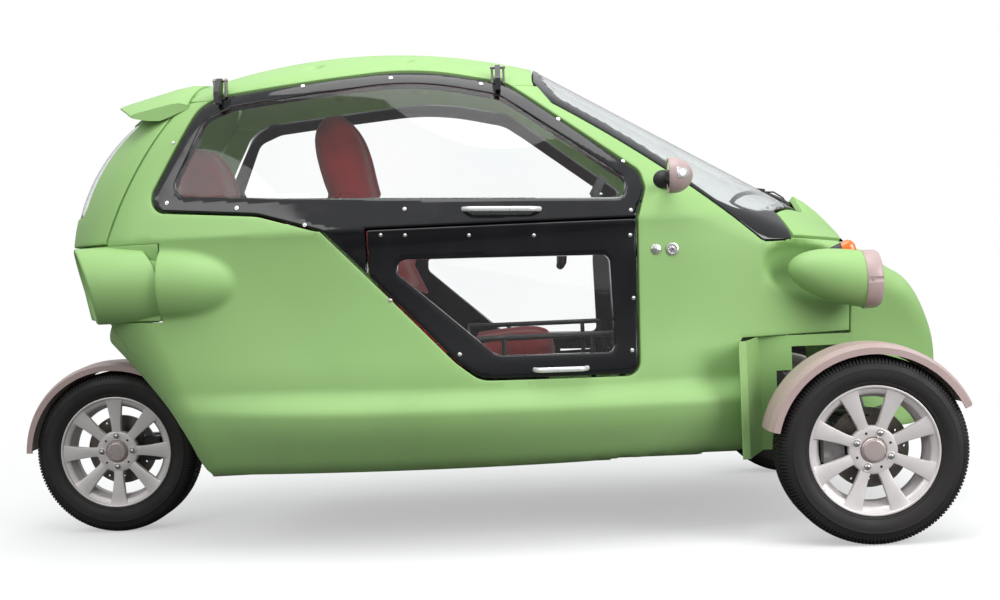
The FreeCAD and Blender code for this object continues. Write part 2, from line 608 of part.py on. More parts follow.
def turned(corners):
    """A ring turned round the Y axis from (radius, offset) corners."""
    wire = Part.makePolygon([Vector(r, a, 0) for r, a in list(corners) + [corners[0]]])
    return Part.Face(wire).revolve(Vector(0, 0, 0), Vector(0, 1, 0), 360)


def hub_placement(x, y, outward):
    return Placement(Vector(x, y, axle_height), Rotation(Vector(0, 0, 1), 180 if outward > 0 else 0))


def tyre_body(label, placement):
    """The tyre: half its section is sketched, mirrored in the sketch and revolved."""
    body = doc.addObject("PartDesign::Body", label)
    body.Label = label
    profile = body.newObject("Sketcher::SketchObject", f"{label}_section")
    corners = list(TYRE_SECTION)
    far_side = [(radius, f"tyre_width - ({offset})") for radius, offset in reversed(corners)]
    loop = corners + far_side
    points = [(eval_cell(radius), eval_cell(offset)) for radius, offset in loop]
    count = len(points)
    for i in range(count):
        start = Vector(*points[i], 0)
        end = Vector(*points[(i + 1) % count], 0)
        profile.addGeometry(Part.LineSegment(start, end), False)
    for i in range(count):
        profile.addConstraint(Sketcher.Constraint("Coincident", i, 2, (i + 1) % count, 1))
    for i, (radius, offset) in enumerate(loop):
        for kind, formula, value in (("DistanceX", radius, points[i][0]), ("DistanceY", offset, points[i][1])):
            if value == 0:
                profile.addConstraint(Sketcher.Constraint("PointOnObject", i, 1, -1))
                continue
            index = profile.addConstraint(Sketcher.Constraint(kind, -1, 1, i, 1, value))
            profile.setExpression(f"Constraints[{index}]", WORD.sub(r"Sizes.\1", formula))
    turn = body.newObject("PartDesign::Revolution", f"{label}_turn")
    turn.Profile = profile
    turn.ReferenceAxis = (profile, ["V_Axis"])
    turn.Angle = 360
    middle = placement.multVec(Vector(0, -tyre_width / 2, 0))
    body.Placement = Placement(middle, placement.Rotation)
    return body


def eval_cell(formula):
    """The value that a sheet formula has now."""
    probe = doc.getObject("Probe") or doc.addObject("App::FeaturePython", "Probe")
    if "Value" not in probe.PropertiesList:
        probe.addProperty("App::PropertyFloat", "Value")
    return float(probe.evalExpression(WORD.sub(r"Sizes.\1", formula)))


def spoke(angle):
    """One straight spoke that widens to the rim and leans out toward the face."""
    root, tip, depth = spoke_root / 2, spoke_tip / 2, spoke_depth
    inner = Part.makePolygon([Vector(x, a, 55) for x, a in
                              ((-root, -46), (root, -46), (root, -46 + depth), (-root, -46 + depth), (-root, -46))])
    outer = Part.makePolygon([Vector(x, a, 175) for x, a in
                              ((-tip, -59), (tip, -59), (tip, -57 + depth), (-tip, -57 + depth), (-tip, -59))])
    return Part.makeLoft([inner, outer], True, True).rotated(Vector(), Vector(0, 1, 0), angle)


def rim_shape(first_angle):
    spokes = [spoke(first_angle + i * 360 / spoke_count) for i in range(int(spoke_count))]
    hub = turned([(0, -57), (cap_radius - 6, -57), (cap_radius, -52), (cap_radius, -49),
                  (hub_radius - 6, -48), (hub_radius, -43), (hub_radius, -22), (0, -22)])
    holes = [Part.makeCylinder(8.5, 12, Vector(0, -50, bolt_circle), Vector(0, 1, 0)).rotated(
        Vector(), Vector(0, 1, 0), first_angle + i * 90) for i in range(4)]
    well = turned(RIM_SECTION)
    return fused([well, hub] + spokes).cut(holes)


disc_shape = turned([(stub_radius + pin_gap, -21.5), (hub_radius - 4, -21.5), (hub_radius, -17),
                     (hub_radius, 14), (disc_radius, 14), (disc_radius, 26), (hub_radius - 8, 26),
                     (hub_radius - 8, -10), (stub_radius + pin_gap + 12, -10),
                     (stub_radius + pin_gap + 12, 24), (stub_radius + pin_gap, 24)])
vents = [Part.makeCylinder(4, 20, Vector(0, 10, 95 + 12 * (i % 2)), Vector(0, 1, 0)).rotated(
    Vector(), Vector(0, 1, 0), i * 30) for i in range(12)]
disc_shape = disc_shape.cut(vents)
SPOKE_TURN = {"front_right": 22.5, "front_left": 22.5, "rear": 0}
for name, x, y, outward in WHEELS:
    seat = hub_placement(x, y, outward)
    tyre_body(f"tyre_{name}", seat)
    for label, shape in ((f"rim_{name}", rim_shape(SPOKE_TURN[name])), (f"brake_disc_{name}", disc_shape)):
        item = piece(label, shape)
        item.Placement = seat

# ---------------------------------------------------------------- knuckles, mudguards, suspension
# Drawn round the wheel's centre in the same way: -Y is outward, so the kingpin is at +KING_A.
KING_A = track_half - kingpin_y
FENDER_SECTION = ((286, -88), (305, -88), (316, -58), (319, 0), (316, 58), (305, 88), (286, 88),
                  (286, 81), (299, 80), (306, 52), (308, 0), (306, -52), (299, -80), (286, -81))


def fender_shape(start_angle, end_angle):
    """A channel bent round the tyre; angles run from the front of the car over the top."""
    wire = Part.makePolygon([Vector(r, a, 0) for r, a in list(FENDER_SECTION) + [FENDER_SECTION[0]]])
    face = Part.Face(wire).rotated(Vector(), Vector(0, 1, 0), -start_angle)
    return face.revolve(Vector(), Vector(0, 1, 0), -(end_angle - start_angle))


def stay(points, radius):
    return fused([rod(a, b, radius) for a, b in zip(points, points[1:])]
                 + [Part.makeSphere(radius, Vector(*p)) for p in points[1:-1]])


pad_slot = Part.makeCylinder(disc_radius + 6, 24, Vector(0, 8, 0), Vector(0, 1, 0))
caliper = box(-136, -74, 2, 44, -42, 42).cut(pad_slot)
upright = fused([
    rod((0, KING_A, -78), (0, KING_A, 78), 17),
    rod((0, KING_A, -98), (0, KING_A, 118), 8),
    rod((0, 31, 0), (0, KING_A + 14, 0), 36),
    rod((0, -20, 0), (0, 40, 0), stub_radius),
    box(-110, 0, 44, 58, -16, 16),
    caliper.fuse(box(-118, -96, 38, 58, -16, 16)),
    stay([(0, KING_A, 112), (0, 104, 150), (0, 104, 290), (0, 84, 303)], 6),
])
front_fender = fender_shape(24, 167)
for name, side in SIDES:
    seat = hub_placement(front_axle_x, side * track_half, side)
    for label, shape in ((f"knuckle_{name}", upright.cut(front_fender)), (f"front_fender_{name}", front_fender)):
        item = piece(label, shape)
        item.Placement = seat

ARM_ROOT_Y = 456


def wishbone(height, spread):
    eye = Vector(front_axle_x, -kingpin_y, height)
    legs = [rod((front_axle_x + step, -ARM_ROOT_Y, height), (front_axle_x, -kingpin_y + 12, height), 11)
            for step in (-spread, spread)]
    ring = Part.makeCylinder(19, 16, eye - Vector(0, 0, 8), Vector(0, 0, 1))
    hole = Part.makeCylinder(8 + pin_gap, 60, eye - Vector(0, 0, 30), Vector(0, 0, 1))
    return fused(legs + [ring]).cut(hole)


subframe = [rod((front_axle_x + step, -ARM_ROOT_Y - 6, axle_height - 90),
                (front_axle_x + step, ARM_ROOT_Y + 6, axle_height - 90), 15) for step in (-105, 105)]
posts = [rod((front_axle_x + step, side * ARM_ROOT_Y, axle_height - 90),
             (front_axle_x + step, side * ARM_ROOT_Y, axle_height + 96), 13)
         for step in (-100, 100) for name, side in SIDES]
arms_right = [wishbone(axle_height - 90, 105), wishbone(axle_height + 90, 100)]
saddles = [box(front_axle_x + step - 18, front_axle_x + step + 18, side * 350 - 30, side * 350 + 30,
               axle_height - 95, 270) for step in (-105, 105) for name, side in SIDES]
suspension = fused(subframe + posts + arms_right + [mirrored(arm) for arm in arms_right] + saddles)
floor_body = doc.getObject("floor_tub").Shape
nose_body = doc.getObject("nose_panel").Shape
suspension = biggest(suspension.cut([floor_body, nose_body, side_right, side_left]))
piece("front_suspension", suspension)

PIVOT_X, PIVOT_Z = -800, 305
swing = fused([
    rod((PIVOT_X, -90, PIVOT_Z), (PIVOT_X, 190, PIVOT_Z), 30),
    across(outline([(PIVOT_X + 30, 330), (PIVOT_X + 30, 275), (rear_axle_x - 40, 250), (rear_axle_x - 40, 315)],
                   [20, 20, 30, 30]), 112, 160),
    rod((rear_axle_x, -5 - 20, axle_height), (rear_axle_x, 150, axle_height), stub_radius),
    rod((rear_axle_x, -5 + 31, axle_height), (rear_axle_x, 150, axle_height), 36),
    rod((rear_axle_x, 136, 300), (rear_axle_x - 120, 136, 510), 8),
    rod((rear_axle_x, 136, 300), (rear_axle_x + 110, 136, 510), 8),
    rod((rear_axle_x - 120, 136, 510), (rear_axle_x - 120, 70, 560), 8),
    rod((rear_axle_x + 110, 136, 510), (rear_axle_x + 110, 70, 560), 8),
])
rear_caliper = box(74, 136, 2, 44, -42, 42).cut(pad_slot).translated(Vector(rear_axle_x, -5, axle_height))
swing = swing.fuse([rear_caliper, box(rear_axle_x + 90, rear_axle_x + 130, 30, 120, axle_height - 16, axle_height + 16)])
rear_fender = fender_shape(50, 178)
rear_seat_place = hub_placement(rear_axle_x, -5, -1)
rear_fender_item = piece("rear_fender", rear_fender)
rear_fender_item.Placement = rear_seat_place
swing = biggest(swing.cut([rear_fender_item.Shape, floor_body]))
piece("rear_swing_arm", swing)

# ---------------------------------------------------------------- heavy blocks under the floor line
battery = bound("Part::Box", "battery_pack", ("-180", "-220", "331"), Length="420", Width="440", Height="160")
battery.Label = "battery_pack"
motor = bound("Part::Cylinder", "drive_motor", ("-880", "-120", "480"), ALONG_Y, Radius="95", Height="240")
motor.Label = "drive_motor"

# ---------------------------------------------------------------- arch liners, cabin fittings
arch_big = Part.Face(Part.makePolygon([
    Vector(803, -FAR, 0), Vector(803, -643, 0), Vector(897, -ARCH_Y + 8, 0),
    Vector(NOSE_X - 2, -ARCH_Y + 8, 0), Vector(NOSE_X - 2, -FAR, 0), Vector(803, -FAR, 0)]))
arch_big = arch_big.extrude(Vector(0, 0, ARCH_TOP_Z + 8))
liner = arch_big.cut(arches).common(outer_form).common(box(0, FAR, -FAR, 0, bottom_z + 4, FAR))
liner = biggest(liner.cut([side_right, floor_body, suspension]))
well_liner = well_skin.cut(well).common(outer_form).cut([side_right, side_left, floor_body, arm_slot])
piece("arch_liners", Part.makeCompound([liner, mirrored(liner), biggest(well_liner)]))


def seat_form(corners, rounds, half_width):
    return across(outline(corners, rounds), -half_width, half_width)


def seat(label, shift, lift, half_width, reach):
    back = seat_form([(-250 + shift, 560 + lift), (-420 + shift, 1010 + lift), (-520 + shift, 1390 + lift),
                      (-425 + shift, 1410 + lift), (-320 + shift, 1180 + lift), (-118 + shift, 600 + lift)],
                     [40, 60, 50, 40, 120, 30], half_width)
    cushion = seat_form([(-250 + shift, 500 + lift), (-230 + shift, 600 + lift), (60 + shift, 625 + lift),
                         (reach - 12 + shift, 640 + lift), (reach + shift, 560 + lift),
                         (reach - 60 + shift, 505 + lift)],
                        [20, 20, 60, 40, 40, 40], half_width)
    return piece(label, fused([back, cushion]))


seat("front_seat", 0, 0, 225, 262)
seat("rear_seat", -480, -90, 200, 205)
rails = []
for name, side in SIDES:
    y = side * 430
    rails.append(stay([(-120, y, 470), (-60, y, 640), (440, y, 640), (480, y, 470)], 9).fuse(
        [rod((100, y, 640), (100, y, 500), 8), rod((380, y, 640), (380, y, 500), 8),
         box(-130, 490, min(y, y + side * 3) - 12, max(y, y + side * 3) + 12, 470, 500)]))
rails = [rail.cut(shell) for rail in rails]
piece("side_rails", Part.makeCompound(rails))
dash = across(outline([(600, 840), (640, 945), (876, 1000), (876, 800), (700, 790)], [20, 40, 10, 10, 40]),
              -470, 470).common(body_form(wall + 4)).cut([floor_body])
rake = math.radians(column_rake)
column_dir = Vector(-math.cos(rake), 0, math.sin(rake))
hub_at = Vector(steering_x, 0, steering_z)
column = Part.makeCylinder(24, 330, hub_at - column_dir * 352, column_dir)
piece("dashboard", biggest(dash.cut(column)))
piece("steering_column", column.fuse(Part.makeCylinder(12, 20, hub_at - column_dir * 26, column_dir)))
ring_turn = Rotation(Vector(0, 0, 1), column_dir)
wheel_rim = Part.makeTorus(steering_radius, 14, hub_at, column_dir)
wheel_hub = Part.makeCylinder(34, 26, hub_at - column_dir * 18, column_dir)
wheel_bars = [Part.makeCylinder(10, steering_radius, hub_at, ring_turn.multVec(
    Vector(math.cos(math.radians(a)), math.sin(math.radians(a)), 0))) for a in (90, 210, 330)]
wheel_hole = Part.makeCylinder(12 + pin_gap, 14, hub_at - column_dir * 19, column_dir)
piece("steering_wheel", fused([wheel_rim, wheel_hub] + wheel_bars).cut(wheel_hole))

# ---------------------------------------------------------------- checks and files
doc.recompute()
nodes = [item for item in doc.Objects if hasattr(item, "Shape") and not item.InList]
for item in doc.Objects:
    if "Invalid" in item.State or "Error" in item.State:
        raise RuntimeError(f"{item.Label} did not recompute")
for item in nodes:
    if item.Shape.isNull() or not item.Shape.Solids or not item.Shape.isValid():
        raise RuntimeError(f"{item.Label} is not a sound solid")
for item in nodes:
    item.Shape.exportStep(f"parts/{item.Label}.step")
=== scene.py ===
"""The three wheeled car: its panels, glass, wheels and cabin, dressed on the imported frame."""
import math

import bmesh
import bpy
import numpy as np
from mathutils import Matrix, Vector, geometry


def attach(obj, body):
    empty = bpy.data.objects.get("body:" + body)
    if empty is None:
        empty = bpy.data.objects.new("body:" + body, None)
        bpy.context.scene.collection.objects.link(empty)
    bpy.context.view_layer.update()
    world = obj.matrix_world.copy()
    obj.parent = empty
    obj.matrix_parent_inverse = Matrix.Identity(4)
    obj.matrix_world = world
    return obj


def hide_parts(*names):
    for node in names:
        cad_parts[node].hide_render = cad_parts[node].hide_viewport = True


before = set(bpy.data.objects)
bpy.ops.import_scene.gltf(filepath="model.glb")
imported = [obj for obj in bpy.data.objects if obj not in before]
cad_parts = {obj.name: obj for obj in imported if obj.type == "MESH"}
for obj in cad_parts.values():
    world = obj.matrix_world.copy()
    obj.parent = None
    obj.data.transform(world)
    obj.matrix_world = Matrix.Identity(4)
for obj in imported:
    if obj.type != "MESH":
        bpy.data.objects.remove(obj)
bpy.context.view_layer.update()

# ---------------------------------------------------------------- the plastic body's form
# The body panels are vacuum formed sheet, all drawn from one smooth form: the side view swept
# across the car with a crown, held in by the plan at each height. It is written here as a signed
# distance, so that every panel and pane can be laid on it.
CROWN_EDGE = 0.7
SIDE_VIEW = (
    # corner, x and z on the centreline, x and z at the crown's edge
    ("nose_bottom", 1.430, 0.262, 1.430, 0.262),
    ("nose_front", 1.570, 0.500, 1.570, 0.440),
    ("nose_top", 1.400, 0.810, 1.400, 0.560),
    ("cowl", 1.040, 1.062, 0.980, 0.730),
    ("screen_top", 0.240, 1.530, 0.180, 1.240),
    ("roof_middle", -0.290, 1.608, -0.290, 1.318),
    ("roof_rear", -0.860, 1.532, -0.800, 1.242),
    ("hatch_middle", -1.230, 1.330, -0.800, 1.110),
    ("hatch_foot", -1.380, 0.985, -0.880, 0.985),
    ("tail_foot", -1.330, 0.735, -0.840, 0.735),
    ("sill_rear", -0.850, 0.236, -0.850, 0.236),
)
SIDE_RUNS = (
    ("nose_bottom", "nose_front", "nose_top"), ("nose_top", "cowl"), ("cowl", "screen_top"),
    ("screen_top", "roof_middle", "roof_rear"), ("roof_rear", "hatch_middle", "hatch_foot"),
    ("hatch_foot", "tail_foot"), ("tail_foot", "sill_rear"), ("sill_rear", "nose_bottom"),
)
PLAN_LEVELS = (
    # height, half width at the tail, amidships and at the front corner, nose tip
    (0.200, 0.300, 0.535, 0.420, 1.450),
    (0.440, 0.330, 0.682, 0.440, 1.570),
    (0.640, 0.360, 0.668, 0.450, 1.540),
    (1.000, 0.400, 0.618, 0.440, 1.480),
)
PLAN_TOP = (1.640, 0.255, 0.374, 0.190, 1.300)
PLAN_TAIL_X = -1.450
PLAN_CORNER_X = 1.080
EDGE_SOFTNESS = 0.055
CORNER_SOFTNESS = 0.03
EVEN_SLOPE = 0.95


def soft_max(a, b, softness):
    """The larger of two distances, with the corner between them rounded off."""
    h = np.maximum(softness - np.abs(a - b), 0.0)
    return np.maximum(a, b) + h * h / (4.0 * softness)


def soft_min(a, b, softness):
    return -soft_max(-a, -b, softness)


def circle_through(ax, ay, bx, by, cx, cy):
    """Centre and radius of the circle through three points, given as arrays."""
    d = 2 * (ax * (by - cy) + bx * (cy - ay) + cx * (ay - by))
    a2, b2, c2 = ax * ax + ay * ay, bx * bx + by * by, cx * cx + cy * cy
    ux = (a2 * (by - cy) + b2 * (cy - ay) + c2 * (ay - by)) / d
    uy = (a2 * (cx - bx) + b2 * (ax - cx) + c2 * (bx - ax)) / d
    return ux, uy, np.hypot(ax - ux, ay - uy)


def side_view_distance(x, y, z):
    """Distance out of the side view's outline at each point's own place across the car."""
    t = (y / CROWN_EDGE) ** 2
    at = {name: (x0 + (x1 - x0) * t, z0 + (z1 - z0) * t) for name, x0, z0, x1, z1 in SIDE_VIEW}
    nearest = np.full(x.shape, 9.0)
    signed = np.zeros(x.shape)
    for run in SIDE_RUNS:
        (ax, az), (cx, cz) = at[run[0]], at[run[-1]]
        if len(run) == 2:
            dx, dz = cx - ax, cz - az
            along = np.clip(((x - ax) * dx + (z - az) * dz) / (dx * dx + dz * dz), 0, 1)
            gap = np.hypot(x - ax - dx * along, z - az - dz * along)
            outside = dx * (z - az) - dz * (x - ax) < 0
        else:
            ox, oz, radius = circle_through(ax, az, *at[run[1]], cx, cz)
            start = np.arctan2(az - oz, ax - ox)
            sweep = (np.arctan2(cz - oz, cx - ox) - start) % (2 * np.pi)
            turn = (np.arctan2(z - oz, x - ox) - start) % (2 * np.pi)
            reach = np.hypot(x - ox, z - oz)
            ends = np.minimum(np.hypot(x - ax, z - az), np.hypot(x - cx, z - cz))
            gap = np.where(turn <= sweep, np.abs(reach - radius), ends)
            outside = reach > radius
        closer = gap - 1e-6 * outside < nearest
        nearest = np.where(closer, gap - 1e-6 * outside, nearest)
        signed = np.where(closer, np.where(outside, gap, -gap), signed)
    return signed


def plan_values(z):
    """Half widths and nose tip of the plan at each height."""
    heights = [level[0] for level in PLAN_LEVELS]
    lower = []
    for column in range(1, 5):
        total = 0.0
        for i, level in enumerate(PLAN_LEVELS):
            weight = level[column]
            for j, other in enumerate(heights):
                if j != i:
                    weight = weight * (z - other) / (heights[i] - other)
            total = total + weight
        lower.append(total)
    waist = PLAN_LEVELS[-1]
    rise = (z - waist[0]) / (PLAN_TOP[0] - waist[0])
    return [np.where(z <= waist[0], low, waist[k] + (PLAN_TOP[k] - waist[k]) * rise)
            for k, low in enumerate(lower, start=1)]


def eased(t):
    """A smooth rise from 0 to 1."""
    t = np.clip(t, 0.0, 1.0)
    return t * t * (3 - 2 * t)


SHELF_Z, SHELF_FALL = 0.462, 0.022
SHELF_REAR_X, SHELF_LENGTH = -0.84, 1.66
SHELF_INSET, SHELF_SWELL = 0.036, 0.012


def sill_step(x, z):
    """How far the flank is set in over the soft shelf that runs along the sill."""
    shelf = SHELF_Z - SHELF_FALL * np.clip((x - SHELF_REAR_X) / SHELF_LENGTH, 0, 1)
    strength = eased((x + 1.15) / 0.75)
    over = eased((z - shelf + 0.018) / 0.075)
    inset = SHELF_INSET * over * (1 - eased((z - 0.60) / 0.34))
    swelling = SHELF_SWELL * eased((z - shelf + 0.16) / 0.12) * (1 - over)
    return strength * (inset - swelling)


def plan_distance(x, y, z):
    tail, middle, front, nose = plan_values(z)
    y = np.abs(y)
    ox, oy, radius = circle_through(PLAN_TAIL_X, tail, 0.0, middle, PLAN_CORNER_X, front)
    flank = np.hypot(x - ox, y - oy) - radius + sill_step(x, z)
    span = nose - PLAN_CORNER_X
    cap_radius = (span * span + front * front) / (2 * span)
    cap = np.hypot(x - (nose - cap_radius), y) - cap_radius
    cap = np.minimum(cap, x - PLAN_CORNER_X)
    return soft_max(flank * EVEN_SLOPE, cap * EVEN_SLOPE, CORNER_SOFTNESS)


def body_form(p):
    """Signed distance out of the plain body; points are rows of x, y and z."""
    x, y, z = p[:, 0], p[:, 1], p[:, 2]
    return soft_max(side_view_distance(x, y, z) * EVEN_SLOPE, plan_distance(x, y, z), EDGE_SOFTNESS)


def slope(form, p, reach=0.002):
    """Unit outward direction of a form at each point."""
    steps = np.eye(3) * reach
    grad = np.stack([form(p + step) - form(p - step) for step in steps], axis=1)
    return grad / np.maximum(np.linalg.norm(grad, axis=1, keepdims=True), 1e-9)


def swell(share, power=2.4):
    """How full a rounded end is, from 0 at its tip to 1 where it has its full size."""
    return np.sqrt(np.maximum(1 - (1 - np.clip(share, 0.0, 1.0)) ** power, 0.0))


def spindle_distance(p, tip, end, radius, nose, tail=0.0):
    """Distance out of a round body along the car, swelling over a nose and a tail length."""
    tip, end = np.array(tip), np.array(end)
    length = end[0] - tip[0]

    def size(x):
        full = radius * swell((x - tip[0]) / nose)
        return full * swell((end[0] - x) / tail) if tail else full

    x = np.clip(p[:, 0], tip[0] + 1e-4, end[0] - 1e-4)
    share = (x - tip[0]) / length
    off = np.hypot(p[:, 1] - tip[1] - (end[1] - tip[1]) * share,
                   p[:, 2] - tip[2] - (end[2] - tip[2]) * share)
    flare = (size(x + 0.002) - size(x - 0.002)) / 0.004
    wall = (off - size(x)) / np.hypot(1, flare)
    return np.maximum(wall, np.maximum(tip[0] - p[:, 0], p[:, 0] - end[0]))


# ---------------------------------------------------------------- laying panels on the form
# Each panel is trimmed from its moulding along a drawn line, so a panel here is an outline and
# its holes, filled with a net of points laid on the form, with a rolled rim and a wall behind.
class Flat:
    """A flat drawing plane that is looked at along one direction."""

    def __init__(self, outward):
        self.outward = np.array(outward, float) / np.linalg.norm(outward)
        across = np.cross([0, 0, 1], self.outward)
        across = across if np.linalg.norm(across) > 0.1 else np.array([0.0, 1.0, 0.0])
        self.across = across / np.linalg.norm(across)
        self.up = np.cross(self.outward, self.across)

    def drawn(self, p):
        return np.stack([p @ self.across, p @ self.up], axis=1)

    def rays(self, uv):
        start = uv[:, :1] * self.across + uv[:, 1:] * self.up + self.outward * 2.2
        return start, np.broadcast_to(-self.outward, start.shape), 4.4


class Round:
    """A drawing wrapped round an upright axis, for the nose (facing 1) and the tail (facing -1)."""

    def __init__(self, x, size, facing=1):
        self.x, self.size, self.facing = x, size, facing

    def drawn(self, p):
        turn = np.arctan2(p[:, 1], (p[:, 0] - self.x) * self.facing)
        return np.stack([turn * self.size, p[:, 2]], axis=1)

    def rays(self, uv):
        turn = uv[:, 0] / self.size
        way = np.stack([np.cos(turn) * self.facing, np.sin(turn), np.zeros(len(turn))], axis=1)
        start = way * 1.2 + np.stack([np.full(len(turn), self.x), np.zeros(len(turn)), uv[:, 1]], axis=1)
        return start, -way, 1.2


def landed(form, start, way, reach, steps=110):
    """Where each ray first meets the form, or passes nearest to it."""
    best = np.full(len(start), 9.0)
    best_at = np.zeros(len(start))
    low = np.zeros(len(start))
    high = np.full(len(start), -1.0)
    previous = np.zeros(len(start))
    for at in np.linspace(0, reach, steps):
        value = form(start + way * at)
        hit = (value <= 0) & (high < 0)
        low = np.where(hit, previous, low)
        high = np.where(hit, at, high)
        nearer = (value < best) & (high < 0)
        best = np.where(nearer, value, best)
        best_at = np.where(nearer, at, best_at)
        previous = np.full(len(start), at)
    met = high >= 0
    low, high = np.where(met, low, best_at), np.where(met, high, best_at)
    for _ in range(16):
        middle = (low + high) / 2
        inside = form(start + way * middle[:, None]) <= 0
        high = np.where(inside, middle, high)
        low = np.where(inside, low, middle)
    return start + way * high[:, None]


def on_flank(form, side, corners):
    """Side view points, carried out to the form's flank on one side."""
    xz = np.array(corners)
    start = np.stack([xz[:, 0], np.full(len(xz), side * 1.0), xz[:, 1]], axis=1)
    way = np.broadcast_to(np.array([0.0, -side, 0.0]), start.shape)
    return landed(form, start, way, 1.0)


LINE_STEP = 0.012


def rounded(points, rounds=None, step=LINE_STEP, closed=True):
    """A line through (a, b) corners with each corner rounded, as closely spaced points."""
    points = np.array(points, float)
    count = len(points)
    rounds = list(rounds) if rounds else [0] * count
    if not closed:
        rounds[0] = rounds[-1] = 0
    path = []
    for i in range(count):
        here, radius = points[i], rounds[i]
        if not radius:
            path.append([here])
            continue
        back, ahead = points[i - 1] - here, points[(i + 1) % count] - here
        back, ahead = back / np.linalg.norm(back), ahead / np.linalg.norm(ahead)
        half = math.acos(np.clip(back @ ahead, -1, 1)) / 2
        centre = here + (back + ahead) / np.linalg.norm(back + ahead) * radius / math.sin(half)
        a, b = here + back * radius / math.tan(half), here + ahead * radius / math.tan(half)
        turn_a = math.atan2(*(a - centre)[::-1])
        swing = (math.atan2(*(b - centre)[::-1]) - turn_a + math.pi) % (2 * math.pi) - math.pi
        parts = max(3, int(abs(swing) * radius / step * 1.5) + 1, int(abs(swing) / 0.25))
        path.append([centre + radius * np.array([math.cos(turn_a + swing * k / parts),
                                                math.sin(turn_a + swing * k / parts)])
                     for k in range(parts + 1)])
    line = []
    for i in range(count):
        line.extend(path[i])
        if i + 1 == count and not closed:
            break
        start, end = path[i][-1], path[(i + 1) % count][0]
        parts = int(np.linalg.norm(end - start) / step)
        line.extend(start + (end - start) * k / parts for k in range(1, parts))
    return np.array(line)


def bowed(start, middle, end, step=LINE_STEP):
    """Closely spaced points of the arc through three (a, b) points, without its last one."""
    ox, oy, radius = circle_through(*start, *middle, *end)
    turn = math.atan2(start[1] - oy, start[0] - ox)
    full = 2 * math.pi
    sweep = (math.atan2(end[1] - oy, end[0] - ox) - turn) % full
    if (math.atan2(middle[1] - oy, middle[0] - ox) - turn) % full > sweep:
        sweep -= full
    parts = max(2, int(abs(sweep) * radius / step))
    return np.array([(ox + radius * math.cos(turn + sweep * k / parts),
                      oy + radius * math.sin(turn + sweep * k / parts)) for k in range(parts)])


def grown(loop, by):
    """A closed line moved out by a distance, or in where the distance is negative."""
    loop = np.array(loop)
    ahead = np.roll(loop, -1, axis=0) - loop
    ahead /= np.maximum(np.linalg.norm(ahead, axis=1, keepdims=True), 1e-9)
    behind = np.roll(ahead, 1, axis=0)
    area = np.sum(loop[:, 0] * np.roll(loop[:, 1], -1) - loop[:, 1] * np.roll(loop[:, 0], -1))
    way = ahead + behind
    way /= np.maximum(np.linalg.norm(way, axis=1, keepdims=True), 1e-9)
    out = np.stack([way[:, 1], -way[:, 0]], axis=1) * (1 if area > 0 else -1)
    mitre = np.maximum(np.abs(np.sum(way * ahead, axis=1)), 0.45)
    return loop + out * (by / mitre)[:, None]


def within(points, loop):
    """Which points lie inside a closed line."""
    inside = np.zeros(len(points), bool)
    x, y = points[:, 0], points[:, 1]
    following = np.roll(loop, -1, axis=0)
    for (ax, ay), (bx, by) in zip(loop, following):
        if ay == by:
            continue
        crosses = (ay > y) != (by > y)
        inside ^= crosses & (x < (bx - ax) * (y - ay) / (by - ay) + ax)
    return inside


def clearance(points, loop):
    """Each point's distance to a closed line's corners, near enough for thinning a net."""
    gap = np.full(len(points), 9.0)
    for corner in loop:
        gap = np.minimum(gap, np.hypot(points[:, 0] - corner[0], points[:, 1] - corner[1]))
    return gap


def net(low, high, step):
    """Points of a triangular net over a box."""
    rows = []
    for j, v in enumerate(np.arange(low[1], high[1] + step, step * 0.866)):
        us = np.arange(low[0] + (j % 2) * step / 2, high[0] + step, step)
        rows.append(np.stack([us, np.full(len(us), v)], axis=1))
    return np.concatenate(rows)


def added(name, data):
    """An object for this data, linked into the scene."""
    made = bpy.data.objects.new(name, data)
    bpy.context.scene.collection.objects.link(made)
    return made


def mesh_object(name, verts, faces, sharp=None):
    mesh = bpy.data.meshes.new(name)
    mesh.from_pydata([tuple(v) for v in verts], [], [tuple(int(i) for i in f) for f in faces])
    mesh.validate()
    mesh.shade_smooth()
    if sharp:
        mesh.set_sharp_from_angle(angle=math.radians(sharp))
    return added(name, mesh)


RIM_TURNS = (0.0, 30.0, 60.0, 90.0)
NET_EDGE_SHARE = 0.55


